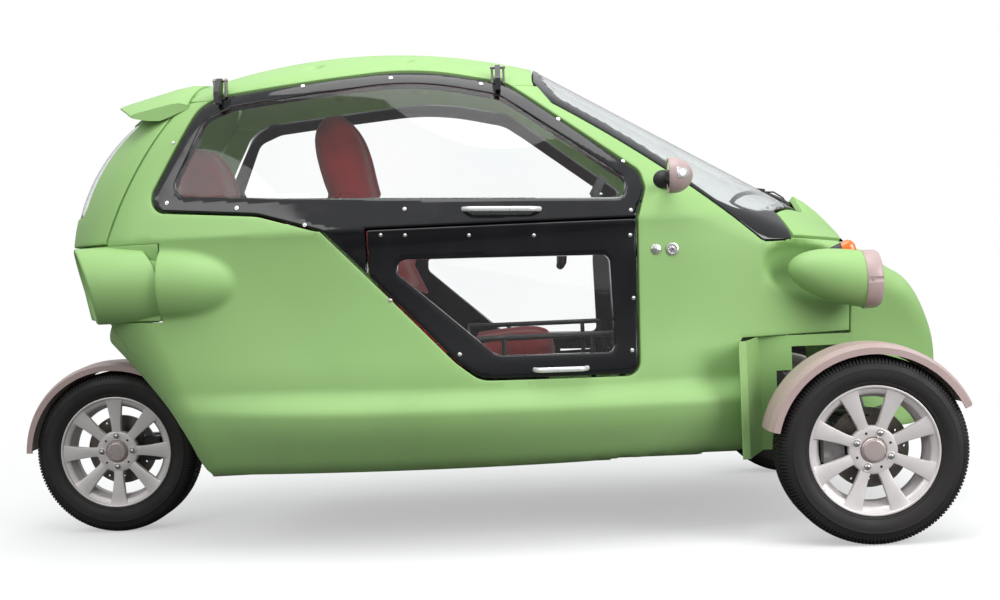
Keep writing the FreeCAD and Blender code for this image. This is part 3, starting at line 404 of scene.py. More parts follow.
def panel_mesh(form, drawing, loop, holes=(), depth=0.028, rim=0.005, step=0.014, sink=0.0,
               plain=None, finer=()):
    """Vertices and faces of a panel: its face on the form, a rolled rim and a wall behind.

    Loops are closed lines of points in space. A finer place is a middle, a reach and a step.
    """
    plain = plain or form
    drawn = [drawing.drawn(np.array(edge)) for edge in (loop, *holes)]
    points, drops, links, rings = [], [], [], []
    size = 0
    for index, edge in enumerate(drawn):
        inward = -1 if index == 0 else 1
        rounds = []
        for angle in np.radians(RIM_TURNS if rim > 0 else RIM_TURNS[:1]):
            moved = grown(edge, inward * (1 - math.cos(angle))) - edge
            rounds.append((edge + moved * rim, np.full(len(edge), rim * (1 - math.sin(angle)))))
        for line, drop in rounds:
            count = len(line)
            points.append(line)
            drops.append(drop)
            links.extend((size + i, size + (i + 1) % count) for i in range(count))
            if line is rounds[0][0]:
                rings.append(range(size, size + count))
            size += count
    inner = [grown(edge, (-1 if i == 0 else 1) * (rim + 0.001)) for i, edge in enumerate(drawn)]
    grid = net(drawn[0].min(axis=0), drawn[0].max(axis=0), step)
    for middle, reach, fine in finer:
        middle = drawing.drawn(np.array([middle]))[0]
        near = np.linalg.norm(grid - middle, axis=1) < reach
        extra = net(middle - reach, middle + reach, fine)
        extra = extra[np.linalg.norm(extra - middle, axis=1) < reach]
        grid = np.concatenate([grid[~near], extra])
    keep = within(grid, inner[0]) & (clearance(grid, inner[0]) > step * NET_EDGE_SHARE)
    for hole in inner[1:]:
        keep &= ~within(grid, hole) & (clearance(grid, hole) > step * NET_EDGE_SHARE)
    points.append(grid[keep])
    drops.append(np.zeros(keep.sum()))
    uv = np.concatenate(points)
    drop = np.concatenate(drops)
    out = geometry.delaunay_2d_cdt([Vector(p) for p in uv], links, [], 0, 1e-7)
    new_uv = np.array([tuple(p) for p in out[0]])
    source = [old[0] if old else -1 for old in out[3]]
    new_drop = np.array([drop[i] if i >= 0 else 0.0 for i in source])
    where = {old: new for new, olds in enumerate(out[3]) for old in olds}
    tris = np.array([f for f in out[2]])
    middles = new_uv[tris].mean(axis=1)
    inside = within(middles, drawn[0])
    for hole in drawn[1:]:
        inside &= ~within(middles, hole)
    tris = tris[inside]
    start, way, reach = drawing.rays(new_uv)
    sunk = (lambda p: form(p) + sink) if sink else form
    place = landed(sunk, start, way, reach)
    normal = slope(plain, place)
    a, b, c = place[tris[:, 0]], place[tris[:, 1]], place[tris[:, 2]]
    face_way = np.cross(b - a, c - a)
    flip = np.sum(face_way * normal[tris[:, 0]], axis=1) < 0
    tris[flip] = tris[flip][:, ::-1]
    front = place - normal * new_drop[:, None]
    back = place - normal * depth
    count = len(front)
    faces = [tuple(t) for t in tris] + [tuple(t + count)[::-1] for t in tris]
    edge_ways = {(int(t[i]), int(t[(i + 1) % 3])) for t in tris for i in range(3)}
    for ring in rings:
        ring = [where[i] for i in ring]
        for i, j in zip(ring, ring[1:] + ring[:1]):
            if (j, i) in edge_ways:
                i, j = j, i
            faces.append((j, i, i + count, j + count))
    return np.concatenate([front, back]), faces


def mirrored_mesh(mesh_parts):
    verts, faces = mesh_parts
    return verts * np.array([1.0, -1.0, 1.0]), [tuple(f)[::-1] for f in faces]


def together(*parts):
    """Several sets of vertices and faces as one."""
    verts, faces, base = [], [], 0
    for part_verts, part_faces in parts:
        verts.append(np.asarray(part_verts))
        faces.extend(tuple(int(i) + base for i in f) for f in part_faces)
        base += len(part_verts)
    return np.concatenate(verts), faces


def with_mirror(parts):
    return together(parts, mirrored_mesh(parts))


def on_side(side, parts):
    """A right hand piece as it is, or its mirror image on the left."""
    return parts if side < 0 else mirrored_mesh(parts)


SIDES = (("right", -1), ("left", 1))


def outward(parts):
    """The same mesh with every face turned outwards and doubled points merged."""
    mesh = bmesh.new()
    verts = [mesh.verts.new(v) for v in parts[0]]
    for face in parts[1]:
        try:
            mesh.faces.new([verts[i] for i in face])
        except ValueError:
            pass
    bmesh.ops.remove_doubles(mesh, verts=mesh.verts, dist=1e-5)
    bmesh.ops.recalc_face_normals(mesh, faces=mesh.faces)
    mesh.verts.index_update()
    points = np.array([v.co[:] for v in mesh.verts])
    faces = [tuple(v.index for v in f.verts) for f in mesh.faces]
    mesh.free()
    return points, faces


def ring_faces(rings, parts, capped=True):
    """Faces that join rings of points one after another, with a cap at each end."""
    faces = []
    for i in range(rings - 1):
        for k in range(parts):
            j = (k + 1) % parts
            faces.append((i * parts + k, i * parts + j, (i + 1) * parts + j, (i + 1) * parts + k))
    if capped:
        faces.append(tuple(range(parts))[::-1])
        faces.append(tuple(range((rings - 1) * parts, rings * parts)))
    return faces


# ---------------------------------------------------------------- finishes
# Every finish is a small shader worked out from the piece's own coordinates, in metres.
class Value:
    """A shader socket that takes part in sums."""

    def __init__(self, finish, socket):
        self.finish, self.socket = finish, socket

    def sum(self, operation, other, swapped=False):
        pair = (other, self) if swapped else (self, other)
        return self.finish.node("Math", {"operation": operation}, {0: pair[0], 1: pair[1]})

    def __add__(self, other):
        return self.sum("ADD", other)

    def __sub__(self, other):
        return self.sum("SUBTRACT", other)

    def __rsub__(self, other):
        return self.sum("SUBTRACT", other, True)

    def __mul__(self, other):
        return self.sum("MULTIPLY", other)

    __radd__, __rmul__ = __add__, __mul__


class Finish:
    """A material in the making: its tree, its shader and one method that adds any node."""

    def __init__(self, name, colour, **fixed):
        self.material = bpy.data.materials.new(name)
        self.material.use_nodes = True
        self.tree = self.material.node_tree
        self.shader = self.tree.nodes["Principled BSDF"]
        self.shader.inputs["Base Color"].default_value = (*colour, 1)
        for socket, value in fixed.items():
            self.shader.inputs[socket.replace("_", " ").title().replace("Ior", "IOR")].default_value = value
        self.place = self.node("TexCoord", out="Object")

    def node(self, kind, settings=None, inputs=None, out=0):
        made = self.tree.nodes.new(f"ShaderNode{kind}")
        for key, value in (settings or {}).items():
            setattr(made, key, value)
        for key, value in (inputs or {}).items():
            self.feed(made.inputs[key], value)
        return Value(self, made.outputs[out])

    def feed(self, socket, value):
        if isinstance(value, Value):
            self.tree.links.new(value.socket, socket)
        else:
            socket.default_value = value

    def wear(self, **sockets):
        for name, value in sockets.items():
            self.feed(self.shader.inputs[name.replace("_", " ").title()], value)
        return self

    def noise(self, scale, detail=3.0, roughness=0.5, place=None):
        return self.node("TexNoise", {}, {"Vector": place or self.place, "Scale": scale,
                                         "Detail": detail, "Roughness": roughness}, "Fac")

    def between(self, share, low, high):
        """A share that rises from 0 to 1 as a value goes from low to high."""
        return self.node("MapRange", {"interpolation_type": "SMOOTHSTEP"},
                         {"Value": share, "From Min": low, "From Max": high}, "Result")

    def colours(self, share, first, second):
        """A colour between two, by a share."""
        return self.node("Mix", {"data_type": "RGBA"},
                         {0: share, 6: (*first, 1) if isinstance(first, tuple) else first,
                          7: (*second, 1) if isinstance(second, tuple) else second}, 2)

    def bumped(self, height, distance, strength=1.0):
        return self.wear(normal=self.node("Bump", {}, {"Height": height, "Distance": distance,
                                                      "Strength": strength}, "Normal"))

    def height(self):
        return self.node("SeparateXYZ", {}, {"Vector": self.place}, "Z")


GREEN = (0.262, 0.425, 0.172)


def green_sheet():
    """Through-coloured green plastic sheet: matt, finely grained, darker and rougher in patches low down."""
    finish = Finish("green_sheet", GREEN, roughness=0.50, specular_ior_level=0.38)
    cloudy = finish.noise(2.3, 2.0)
    grain = finish.noise(900.0, 2.0, 0.6)
    ripple = finish.noise(16.0, 2.0)
    low = 1 - finish.between(finish.height(), 0.24, 0.62)
    # Darker, greyer and rougher in noise patches toward the bottom of the body.
    darker_low_patches = low * finish.between(finish.noise(7.0, 6.0, 0.65), 0.42, 0.75)
    tone = finish.colours(finish.between(cloudy, 0.3, 0.7), (0.252, 0.436, 0.150), (0.272, 0.464, 0.166))
    finish.wear(base_color=finish.colours(darker_low_patches * 0.22, tone, (0.23, 0.24, 0.17)),
                roughness=0.47 + 0.07 * ripple + 0.10 * darker_low_patches)
    return finish.bumped(grain + ripple * 1.5, 0.00022, 0.55).material


def dressed(name, parts, material, body, *nodes, sharp=35):
    """Make a piece from its mesh, give it its finish, and hang it on its body."""
    piece = mesh_object(name, parts[0], parts[1], sharp)
    piece.data.materials.append(material)
    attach(piece, body)
    if nodes:
        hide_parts(*nodes)
    return piece


green = green_sheet()

# ---------------------------------------------------------------- finishes of the plainer pieces
# Moulded plastic, painted steel, cast alloy, rubber and clear sheet. Each drifts slowly in tone and
# polish over the piece, as real surfaces do.
def plain_finish(name, colour, roughness, scale=40.0, spread=0.25, **fixed):
    """A finish whose tone and polish drift a little over the piece."""
    finish = Finish(name, colour, roughness=roughness, **fixed)
    cloud = finish.between(finish.noise(scale, 4.0, 0.6), 0.3, 0.7)
    darker = tuple(part * (1 - spread) for part in colour)
    finish.wear(base_color=finish.colours(cloud, darker, colour),
                roughness=roughness * 0.85 + roughness * 0.3 * cloud)
    return finish.bumped(finish.noise(scale * 20, 3.0, 0.6), 0.0003, 0.4).material


def clear_sheet(name, tint):
    """Clear plastic sheet: lightly tinted, with the faint waves of bent acrylic."""
    finish = Finish(name, tint, transmission_weight=1.0, ior=1.30, roughness=0.0)
    paler = tuple(min(1.0, part * 1.04) for part in tint)
    finish.wear(base_color=finish.colours(finish.between(finish.noise(1.6, 1.0), 0.3, 0.7), tint, paler),
                roughness=0.035 * finish.between(finish.noise(40.0, 5.0, 0.7), 0.55, 0.8))
    return finish.bumped(finish.noise(2.5, 1.0), 0.0014, 0.2).material


taupe = plain_finish("taupe_plastic", (0.42, 0.315, 0.300), 0.36, 5.0, 0.08)
dark_plastic = plain_finish("dark_plastic", (0.022, 0.021, 0.021), 0.5)
soft_black = plain_finish("soft_black", (0.018, 0.017, 0.017), 0.62)
black_steel = plain_finish("black_steel", (0.02, 0.02, 0.021), 0.34)
floor_sheet = plain_finish("floor_aluminium", (0.30, 0.30, 0.31), 0.42, 12.0, metallic=1.0)
cast_alloy = plain_finish("cast_alloy", (0.46, 0.45, 0.45), 0.46, 60.0, metallic=0.5)
silver_alloy = plain_finish("silver_alloy", (0.66, 0.62, 0.61), 0.34, 14.0, 0.06, metallic=0.25)
disc_iron = plain_finish("disc_iron", (0.20, 0.18, 0.16), 0.4, 50.0, metallic=1.0)
rubber = plain_finish("tyre_rubber", (0.011, 0.0085, 0.0082), 0.66, 9.0, 0.3)
clear_lens = clear_sheet("clear_lens", (0.95, 0.97, 0.98))
red_lens = clear_sheet("red_lens", (0.62, 0.015, 0.015))


# ---------------------------------------------------------------- where the body is split
# The side view lines that the panels are trimmed along, where the moulded skin of the real body is
# cut for its doors, hatch and bonnet. All openings have the same shut gap.
SHUT_GAP = 0.008
HALF_GAP = SHUT_GAP / 2
SHELL_DEPTH = 0.026
PANE_DEPTH, PANE_RIM = 0.005, 0.001
ROOF_SEAM_Z = 1.440
TAIL_SEAM_Z = 0.990
TAIL_FRONT_X = -0.960
NOSE_X = 1.212
ARCH_TOP_Z = 0.612
ROOF_FRONT_X = 0.226
ROOF_REAR_X = -0.846
UPPER_DOOR = (
    # x, z and corner radius
    (-0.985, 1.088, 0.045), (-0.985, 1.145, 0.060), (-0.842, 1.414, 0.120), (-0.770, 1.452, 0.030),
    (-0.142, 1.512, 0.900), (0.140, 1.450, 0.120), (0.545, 1.146, 0.045), (0.558, 1.092, 0.030),
    (0.528, 1.000, 0),
    (-0.300, 1.000, 0), (-0.300, 0.855, 0), (-0.440, 1.000, 0), (-0.640, 1.060, 0.200),
)
LOWER_DOOR = (
    (-0.300, 1.000, 0), (0.528, 1.000, 0), (0.514, 0.520, 0.040), (0.030, 0.530, 0.090),
    (-0.040, 0.585, 0.060), (-0.300, 0.855, 0),
)
UPPER_WINDOW = (
    (-0.930, 1.132, 0.040), (-0.815, 1.378, 0.060), (-0.735, 1.412, 0.060), (-0.142, 1.468, 0.900),
    (0.120, 1.408, 0.120), (0.505, 1.122, 0.035), (0.490, 1.062, 0.030), (-0.560, 1.108, 0.300),
)
LOWER_WINDOW = (
    (-0.262, 0.905, 0.030), (0.438, 0.890, 0.025), (0.444, 0.592, 0.025), (0.080, 0.600, 0.060),
)
SCREEN_ARC = ((0.285, 1.382), (0.600, 1.176), (0.925, 0.912))
TAILGATE_ARC = ((-0.850, 1.500), (-1.035, 1.240), (-1.146, 0.990))


def drawn_line(table):
    return rounded([row[:2] for row in table], [row[2] for row in table])


def opening_of(table, by):
    return grown(drawn_line(table), by)


door_opening = grown(drawn_line(UPPER_DOOR[:9] + LOWER_DOOR[2:5] + UPPER_DOOR[11:]), HALF_GAP)


def split_at_height(loop, height):
    """The stretch of a closed line above a height and the stretch below it, in its order."""
    above = loop[:, 1] > height
    starts = [i for i in range(len(loop)) if above[i] and not above[i - 1]]
    upper = np.roll(loop, -starts[0], axis=0)
    count = int(np.argmin(upper[:, 1] > height))

    def crossing(a, b):
        return a + (b - a) * (height - a[1]) / (b[1] - a[1])

    first, second = crossing(upper[-1], upper[0]), crossing(upper[count - 1], upper[count])
    return np.vstack([first, upper[:count], second]), np.vstack([second, upper[count:], first])


def over_top(form, xy):
    """Plan points, carried down on to the form."""
    xy = np.array(xy)
    start = np.stack([xy[:, 0], xy[:, 1], np.full(len(xy), 2.0)], axis=1)
    return landed(form, start, np.broadcast_to(np.array([0.0, 0.0, -1.0]), start.shape), 1.6)


def along_x(form, yz, way):
    """Front or rear view points, carried on to the form along the car."""
    yz = np.array(yz)
    start = np.stack([np.full(len(yz), -way * 2.0), yz[:, 0], yz[:, 1]], axis=1)
    return landed(form, start, np.broadcast_to(np.array([way, 0.0, 0.0]), start.shape), 2.0)


def straight(start, end, step=LINE_STEP):
    start, end = np.array(start, float), np.array(end, float)
    parts = max(1, int(np.linalg.norm(end - start) / step))
    return start + (end - start) * np.linspace(0, 1, parts + 1)[:, None]


def flipped(p):
    """The same points on the other flank, in the opposite order."""
    return (p * np.array([1.0, -1.0, 1.0]))[::-1]


def tidy(points, least=0.002):
    """Leave out points that nearly repeat the one before."""
    kept = [points[0]]
    for point in points[1:]:
        if np.linalg.norm(point - kept[-1]) > least:
            kept.append(point)
    if np.linalg.norm(kept[-1] - kept[0]) <= least:
        kept.pop()
    return np.array(kept)


def both_halves(*lines, least=0.003):
    """A closed line from the pieces of its right half and their mirror images."""
    half = np.vstack(lines)
    return tidy(np.vstack([half, flipped(half)]), least)


# The headlamp bullets stand in a hollow pressed into each flank; the tail has a round pod there.
POD_Y = 0.500
POD_Z = 0.778
RING_RADIUS = 0.090
RING_BACK_X = 1.223
TAIL_POD_Y = 0.458
TAIL_POD_Z = 0.862


LAMP_HOLLOW = {"tip": (0.926, -0.492, 0.836), "end": (1.385, -0.425, 0.766), "radius": 0.106,
               "nose": 0.235, "tail": 0.13}
TEARDROP = {"tip": (0.696, -0.515, TAIL_POD_Z - 0.010), "end": (1.200, -TAIL_POD_Y, TAIL_POD_Z),
            "radius": 0.114, "nose": 0.24}
HOLLOW_SOFTNESS, TEARDROP_SOFTNESS = 0.020, 0.012


def flank_form(p):
    """The body form with the headlamp hollows pressed in and the tail's teardrops raised."""
    q = p * np.array([1.0, 0.0, 1.0]) - np.abs(p[:, 1:2]) * np.array([0.0, 1.0, 0.0])
    form = soft_max(body_form(p), -spindle_distance(q, **LAMP_HOLLOW), HOLLOW_SOFTNESS)
    return soft_min(form, spindle_distance(q * (-1, 1, 1), **TEARDROP), TEARDROP_SOFTNESS)


roof_edge, flank_edge = split_at_height(door_opening, ROOF_SEAM_Z)
if roof_edge[0, 0] > roof_edge[-1, 0]:
    roof_edge, flank_edge = roof_edge[::-1], flank_edge[::-1]
# roof_edge now runs forward over the door, and flank_edge runs back under it.

# ---------------------------------------------------------------- side shells
# Each flank is one green moulding from the hatch to the nose, round the door opening, with the
# headlamp hollow pressed into it. Its face is matt and lightly grained.
tailgate_line = bowed(*TAILGATE_ARC)
tailgate_line = tailgate_line[tailgate_line[:, 1] < ROOF_SEAM_Z]
screen_line = bowed(*SCREEN_ARC)[::-1]
seam_rear_x = tailgate_line[0, 0] + HALF_GAP
flank_loop = np.vstack([
    flank_edge,
    straight(flank_edge[-1], (seam_rear_x, ROOF_SEAM_Z)),
    tailgate_line[1:] + (HALF_GAP, 0),
    straight((-1.140, TAIL_SEAM_Z - HALF_GAP), (TAIL_FRONT_X, TAIL_SEAM_Z - HALF_GAP)),
    straight((TAIL_FRONT_X, TAIL_SEAM_Z - 0.010), (TAIL_FRONT_X, 0.742)),
    straight((TAIL_FRONT_X - 0.012, 0.742), (-1.168, 0.742)),
    straight((-1.160, 0.730), (-0.862, 0.262)),
    straight((-0.840, 0.246), (0.826, 0.246)),
    straight((0.837, 0.250), (0.834, ARCH_TOP_Z - 0.02)),
    straight((0.846, ARCH_TOP_Z), (NOSE_X - 0.002, ARCH_TOP_Z)),
    straight((NOSE_X - 0.002, ARCH_TOP_Z + 0.012), (NOSE_X - 0.002, 0.900)),
    straight((1.200, 0.903), (1.010, 0.919)),
    straight((0.998, 0.910), (0.932, 0.909)),
    screen_line[screen_line[:, 1] > 0.915][:-1] - (0.0, 0.003),
    straight((0.285, 1.379), (0.243, ROOF_SEAM_Z)),
    straight((0.231, ROOF_SEAM_Z), flank_edge[0]),
])
flank_loop = tidy(flank_loop)
flank_space = tidy(on_flank(body_form, -1, flank_loop))
flank_skin = panel_mesh(flank_form, Flat((0, -1, 0)), flank_space, depth=SHELL_DEPTH, rim=0.004,
                        plain=body_form, finer=[((1.06, -0.45, POD_Z), 0.26, 0.008),
                                                ((-0.83, -0.5, TAIL_POD_Z), 0.21, 0.008)])


def turned_along_x(stations, middle_y, middle_z, parts=64, closed=False):
    """A ring of walls round a line along the car, from stations of x and radius."""
    turns = [2 * math.pi * k / parts for k in range(parts)]
    verts = [(x, middle_y + radius * math.cos(turn), middle_z + radius * math.sin(turn))
             for x, radius in stations for turn in turns]
    if not closed:
        return np.array(verts), ring_faces(len(stations), parts)
    count = len(verts)
    faces = ring_faces(len(stations) + 1, parts, capped=False)
    return np.array(verts), [tuple(i % count for i in face) for face in faces]


BULLET_TIP = (0.997, -0.488, 0.819)
BULLET_SHARES = (0.0, 0.004, 0.014, 0.032, 0.06, 0.1, 0.15, 0.22, 0.31, 0.42, 0.55, 0.7, 0.85, 0.97, 1.0)
BULLET_END = (RING_BACK_X, -POD_Y, POD_Z)
bullet_line = [np.array(BULLET_TIP) * (1 - s) + np.array(BULLET_END) * s for s in BULLET_SHARES]
bullet_sizes = [0.001 + (RING_RADIUS - 0.003) * float(swell(s)) for s in BULLET_SHARES]


def strung(centres, sizes, parts=64):
    """Rings of points round a line of centres that runs along the car, closed at both ends."""
    turns = [2 * math.pi * k / parts for k in range(parts)]
    verts = [(x, y + size * math.cos(turn), z + size * math.sin(turn))
             for (x, y, z), size in zip(centres, sizes) for turn in turns]
    return np.array(verts), ring_faces(len(sizes), parts)


lamp_bullet = outward(strung(bullet_line + [bullet_line[-1]], bullet_sizes + [RING_RADIUS - 0.010]))

belly_edge = np.array([p for p in flank_space if p[0] < -0.85 and 0.2461 < p[2] < 0.740])
belly_edge = belly_edge[np.argsort(-belly_edge[:, 2])]


def spanned(right_point, left_point, step=0.03):
    return straight(right_point, left_point, step)[1:-1]


belly_loop = tidy(np.vstack([
    belly_edge, spanned(belly_edge[-1], belly_edge[-1] * (1, -1, 1)), flipped(belly_edge),
    spanned(belly_edge[0] * (1, -1, 1), belly_edge[0])]), 0.004)
belly = panel_mesh(body_form, Flat((-0.70, 0, -0.71)), belly_loop, depth=0.020, rim=0.0, step=0.02)
for name, side in SIDES:
    half = on_side(side, together(flank_skin, lamp_bullet))
    if side < 0:
        half = together(half, belly)
    dressed(f"flank_{name}", half, green, "root", f"side_shell_{name}")

# ---------------------------------------------------------------- roof panel
# The roof is a narrow green moulding between the two gull wings, from the screen to the hatch.
# Four dimples pressed into it take the screws of a roof bar.
roof_side = on_flank(body_form, -1, roof_edge)
front_drop = on_flank(body_form, -1, straight((0.231, ROOF_SEAM_Z), (ROOF_FRONT_X, 1.462)))
rear_climb = on_flank(body_form, -1, [(x + HALF_GAP, z) for x, z in bowed(*TAILGATE_ARC)
                                      if z > ROOF_SEAM_Z][::-1])
front_across = over_top(body_form, straight((ROOF_FRONT_X, front_drop[-1, 1] + 0.01), (ROOF_FRONT_X, 0)))
rear_across = over_top(body_form, straight((ROOF_REAR_X, 0), (ROOF_REAR_X, rear_climb[-1, 1] + 0.02)))
roof_loop = both_halves(rear_across, rear_climb[::-1], roof_side, front_drop, front_across, least=0.002)
ROOF_DIMPLES = ((-0.479, 0.325, 1.538), (-0.184, 0.302, 1.550))
DIMPLE_RADIUS = 0.040
DIMPLE_LIFT = 0.026
DIMPLE_SOFTNESS = 0.006
dimple_spots = [(x, side * y, z) for x, y, z in ROOF_DIMPLES for side in (-1, 1)]


def roof_form(p):
    """The body form with the four small dimples that take the roof bar's screws."""
    form = body_form(p)
    for spot in dimple_spots:
        gap = np.linalg.norm(p - (np.array(spot) + (0, 0, DIMPLE_LIFT)), axis=1) - DIMPLE_RADIUS
        form = soft_max(form, -gap, DIMPLE_SOFTNESS)
    return form


roof_mesh = panel_mesh(roof_form, Flat((0, 0, 1)), roof_loop, depth=SHELL_DEPTH, rim=0.003, plain=body_form,
                       finer=[(spot, 0.055, 0.005) for spot in dimple_spots])

# ---------------------------------------------------------------- tailgate
# The hatch is a green moulding hinged at the roof, vacuum formed like the flanks. Its window is a
# clear pane set a little below the skin.
gate_side = on_flank(body_form, -1, bowed(*TAILGATE_ARC) - (HALF_GAP, 0))
TAIL_AXIS_X = -0.85
NOSE_AXIS_X = 1.0
WRAP_RADIUS = 0.45
gate_top_x = ROOF_REAR_X - SHUT_GAP
gate_top = over_top(body_form, straight((gate_top_x, 0), (gate_top_x, gate_side[0, 1])))


def belt(form, height, middle_x, turns):
    """Points round the form at one height, from an upright axis."""
    turns = np.radians(np.asarray(turns, float))
    way = np.stack([np.cos(turns), np.sin(turns), np.zeros(len(turns))], axis=1)
    start = np.array([middle_x, 0.0, height]) + way * 1.6
    return landed(form, start, -way, 1.6)


corner_turn = math.degrees(math.atan2(gate_side[-1, 1], gate_side[-1, 0] - TAIL_AXIS_X))
gate_foot = belt(body_form, TAIL_SEAM_Z + HALF_GAP, TAIL_AXIS_X, np.linspace(corner_turn, -180, 26))
gate_loop = both_halves(gate_top, gate_side, gate_foot)
window_yz = rounded([(-0.300, 1.090), (0.300, 1.090), (0.262, 1.400), (-0.262, 1.400)], [0.04] * 4)
gate_window = along_x(body_form, window_yz, 1)
gate_plane = Flat((-0.75, 0, 0.5))
gate_mesh = panel_mesh(body_form, gate_plane, gate_loop, [gate_window], depth=SHELL_DEPTH, rim=0.004)
rear_pane = panel_mesh(body_form, gate_plane, along_x(body_form, grown(window_yz, -0.0005), 1),
                       depth=PANE_DEPTH, rim=PANE_RIM, sink=0.005)

# ---------------------------------------------------------------- nose, bonnet and screen
# The nose cone closes the front below the bonnet, a green lid with a ridge along its middle. The
# windscreen is one bent clear pane in a gloss black surround that reaches down to the cowl.
nose_turns = np.linspace(-1, 1, 61)


def nose_line(height):
    """Points round the nose at one height, from flank to flank."""
    found = belt(flank_form, height, NOSE_AXIS_X, nose_turns * 86)
    return found[found[:, 0] > NOSE_X + 0.002]


def upright_seam(form, x, low, high, side):
    """Points up one flank of a form at one place along the car."""
    height = np.linspace(low, high, int((high - low) / LINE_STEP))
    return on_flank(form, side, np.stack([np.full(len(height), x), height], axis=1))


left_seam, right_seam = (upright_seam(flank_form, NOSE_X + 0.002, 0.290, 0.898, side) for side in (1, -1))
nose_loop = tidy(np.vstack([nose_line(0.290), left_seam, nose_line(0.900)[::-1], right_seam[::-1]]), 0.004)
nose_mesh = panel_mesh(flank_form, Round(NOSE_AXIS_X, WRAP_RADIUS), nose_loop, depth=SHELL_DEPTH, rim=0.004,
                       plain=body_form, step=0.012)

bonnet_edge = on_flank(body_form, -1, np.vstack([
    straight((1.030, 0.926), (1.235, 0.909)), straight((1.247, 0.909), (1.300, 0.909))]))
bonnet_tip = belt(body_form, 0.909, 0.9, np.linspace(
    math.degrees(math.atan2(bonnet_edge[-1, 1], bonnet_edge[-1, 0] - 0.9)), 0, 16))
RIDGE = (
    # x, height over the bonnet, half width
    (0.980, 0.004, 0.34), (1.040, 0.012, 0.26), (1.080, 0.026, 0.20), (1.106, 0.0400, 0.165),
    (1.149, 0.0425, 0.140), (1.194, 0.0364, 0.120), (1.232, 0.0250, 0.105), (1.262, 0.0140, 0.090),
    (1.300, 0.0060, 0.080), (1.360, 0, 0.070),
)


def bonnet_form(p):
    """The body form with the bonnet's ridge raised along its middle."""
    columns = np.array(RIDGE).T
    height = np.interp(p[:, 0], columns[0], columns[1])
    share = np.clip(np.abs(p[:, 1]) / np.interp(p[:, 0], columns[0], columns[2]), 0, 1)
    return body_form(p) - height * (1 - eased(share)) ** 1.25


rear_right = over_top(bonnet_form, np.vstack([
    straight((1.112, 0), (1.118, -0.050), 0.008), straight((1.128, -0.094), (1.121, -0.108), 0.008),
    straight((1.112, -0.126), (0.992, -0.348)),
    straight((1.000, -0.356), (1.024, bonnet_edge[0, 1] + 0.012))]))
screen_plane = Flat((0.5, 0, 0.86))
bonnet_mesh = panel_mesh(bonnet_form, screen_plane, both_halves(rear_right, bonnet_edge, bonnet_tip),
                         depth=0.022, rim=0.003, step=0.009, plain=body_form)
ridge_ys = np.linspace(-0.104, 0.104, 27)
ridge_xs = np.interp(np.abs(ridge_ys), (0, 0.050, 0.094, 0.108), (1.1155, 1.1215, 1.1315, 1.1245))
ridge_top = over_top(bonnet_form, np.stack([ridge_xs, ridge_ys], axis=1)) - (0, 0, 0.004)
ridge_foot = over_top(body_form, np.stack([ridge_xs + 0.006, ridge_ys], axis=1)) - (0, 0, 0.024)

screen_side_points = on_flank(body_form, -1, np.vstack([
    straight((0.231, 1.455), (0.282, 1.385)), bowed(*SCREEN_ARC), straight((0.925, 0.914), (1.018, 0.914))]))
screen_top = over_top(body_form, straight((0.231, 0), (0.231, screen_side_points[0, 1] + 0.004)))
screen_base = over_top(body_form, np.vstack([
    straight((1.018, screen_side_points[-1, 1] + 0.012), (0.992, -0.360)),
    straight((0.984, -0.346), (1.112, -0.098)), straight((1.118, -0.088), (1.118, 0))]))
surround_loop = both_halves(screen_top, screen_side_points, screen_base)
GLASS_LINE = (
    (0.256, 1.466), (0.306, 1.397), (0.450, 1.310), (0.560, 1.236), (0.640, 1.177), (0.710, 1.108),
    (0.784, 1.048), (0.845, 1.018), (0.912, 1.008), (0.975, 1.007),
)
pane_side = on_flank(body_form, -1, rounded(GLASS_LINE, [0, 0.03] + [0.12] * 7 + [0], closed=False))
pane_top = over_top(body_form, straight((0.250, 0), (0.250, pane_side[0, 1] + 0.006)))
pane_base = over_top(body_form, np.vstack([straight((0.985, pane_side[-1, 1] + 0.012), (1.035, -0.250)),
                                           straight((1.040, -0.238), (1.064, 0))]))
pane_loop = both_halves(pane_top, pane_side, pane_base)
surround_mesh = panel_mesh(body_form, screen_plane, surround_loop, [pane_loop], depth=0.018, rim=0.002)
screen_mesh = panel_mesh(body_form, screen_plane, pane_loop, depth=PANE_DEPTH, rim=PANE_RIM, step=0.02,
                         sink=0.002)

# ---------------------------------------------------------------- doors
# Each door is two leaves of clear sheet whose border is painted gloss black from behind. The upper
# leaf is hung from the roof and the lower leaf from the upper one.
door_plane = Flat((0, -0.88, 0.47))


def door_leaf(table, window, drawing):
    """A leaf's painted border and the clear pane inside it."""
    frame_line = on_flank(body_form, -1, opening_of(table, -HALF_GAP))
    window_line = on_flank(body_form, -1, drawn_line(window))
    pane_line = on_flank(body_form, -1, opening_of(window, -0.0004))
    border = panel_mesh(body_form, drawing, frame_line, [window_line], depth=0.028, rim=0.005, step=0.012)
    pane = panel_mesh(body_form, drawing, pane_line, depth=PANE_DEPTH, rim=PANE_RIM, step=0.016, sink=0.001)
    return border, pane


upper_border, upper_pane = door_leaf(UPPER_DOOR, UPPER_WINDOW, door_plane)
lower_border, lower_pane = door_leaf(LOWER_DOOR, LOWER_WINDOW, Flat((0, -1, 0)))

# ---------------------------------------------------------------- spoiler on the hatch
# A thin lip of the hatch moulding that reaches back from its top edge over the window. Its tip
# falls and sweeps forward toward both ends.
SPOILER_HALF = 0.395
SPOILER_FALL = (0.092, 0.052)
SPOILER_SWEEP = 0.39
SPOILER_END_DROP = 0.012
SPOILER_REACH = (
    # share of the way back, height of the top, thickness
    (0.00, 1.5340, 0.014), (0.14, 1.5360, 0.030), (0.30, 1.5270, 0.040), (0.50, 1.5110, 0.044),
    (0.70, 1.4950, 0.034), (0.86, 1.4820, 0.022), (0.96, 1.4725, 0.012), (1.00, 1.4680, 0.005),
)
SPOILER_FRONT_X = -0.880
SPOILER_TIP_X = -1.188


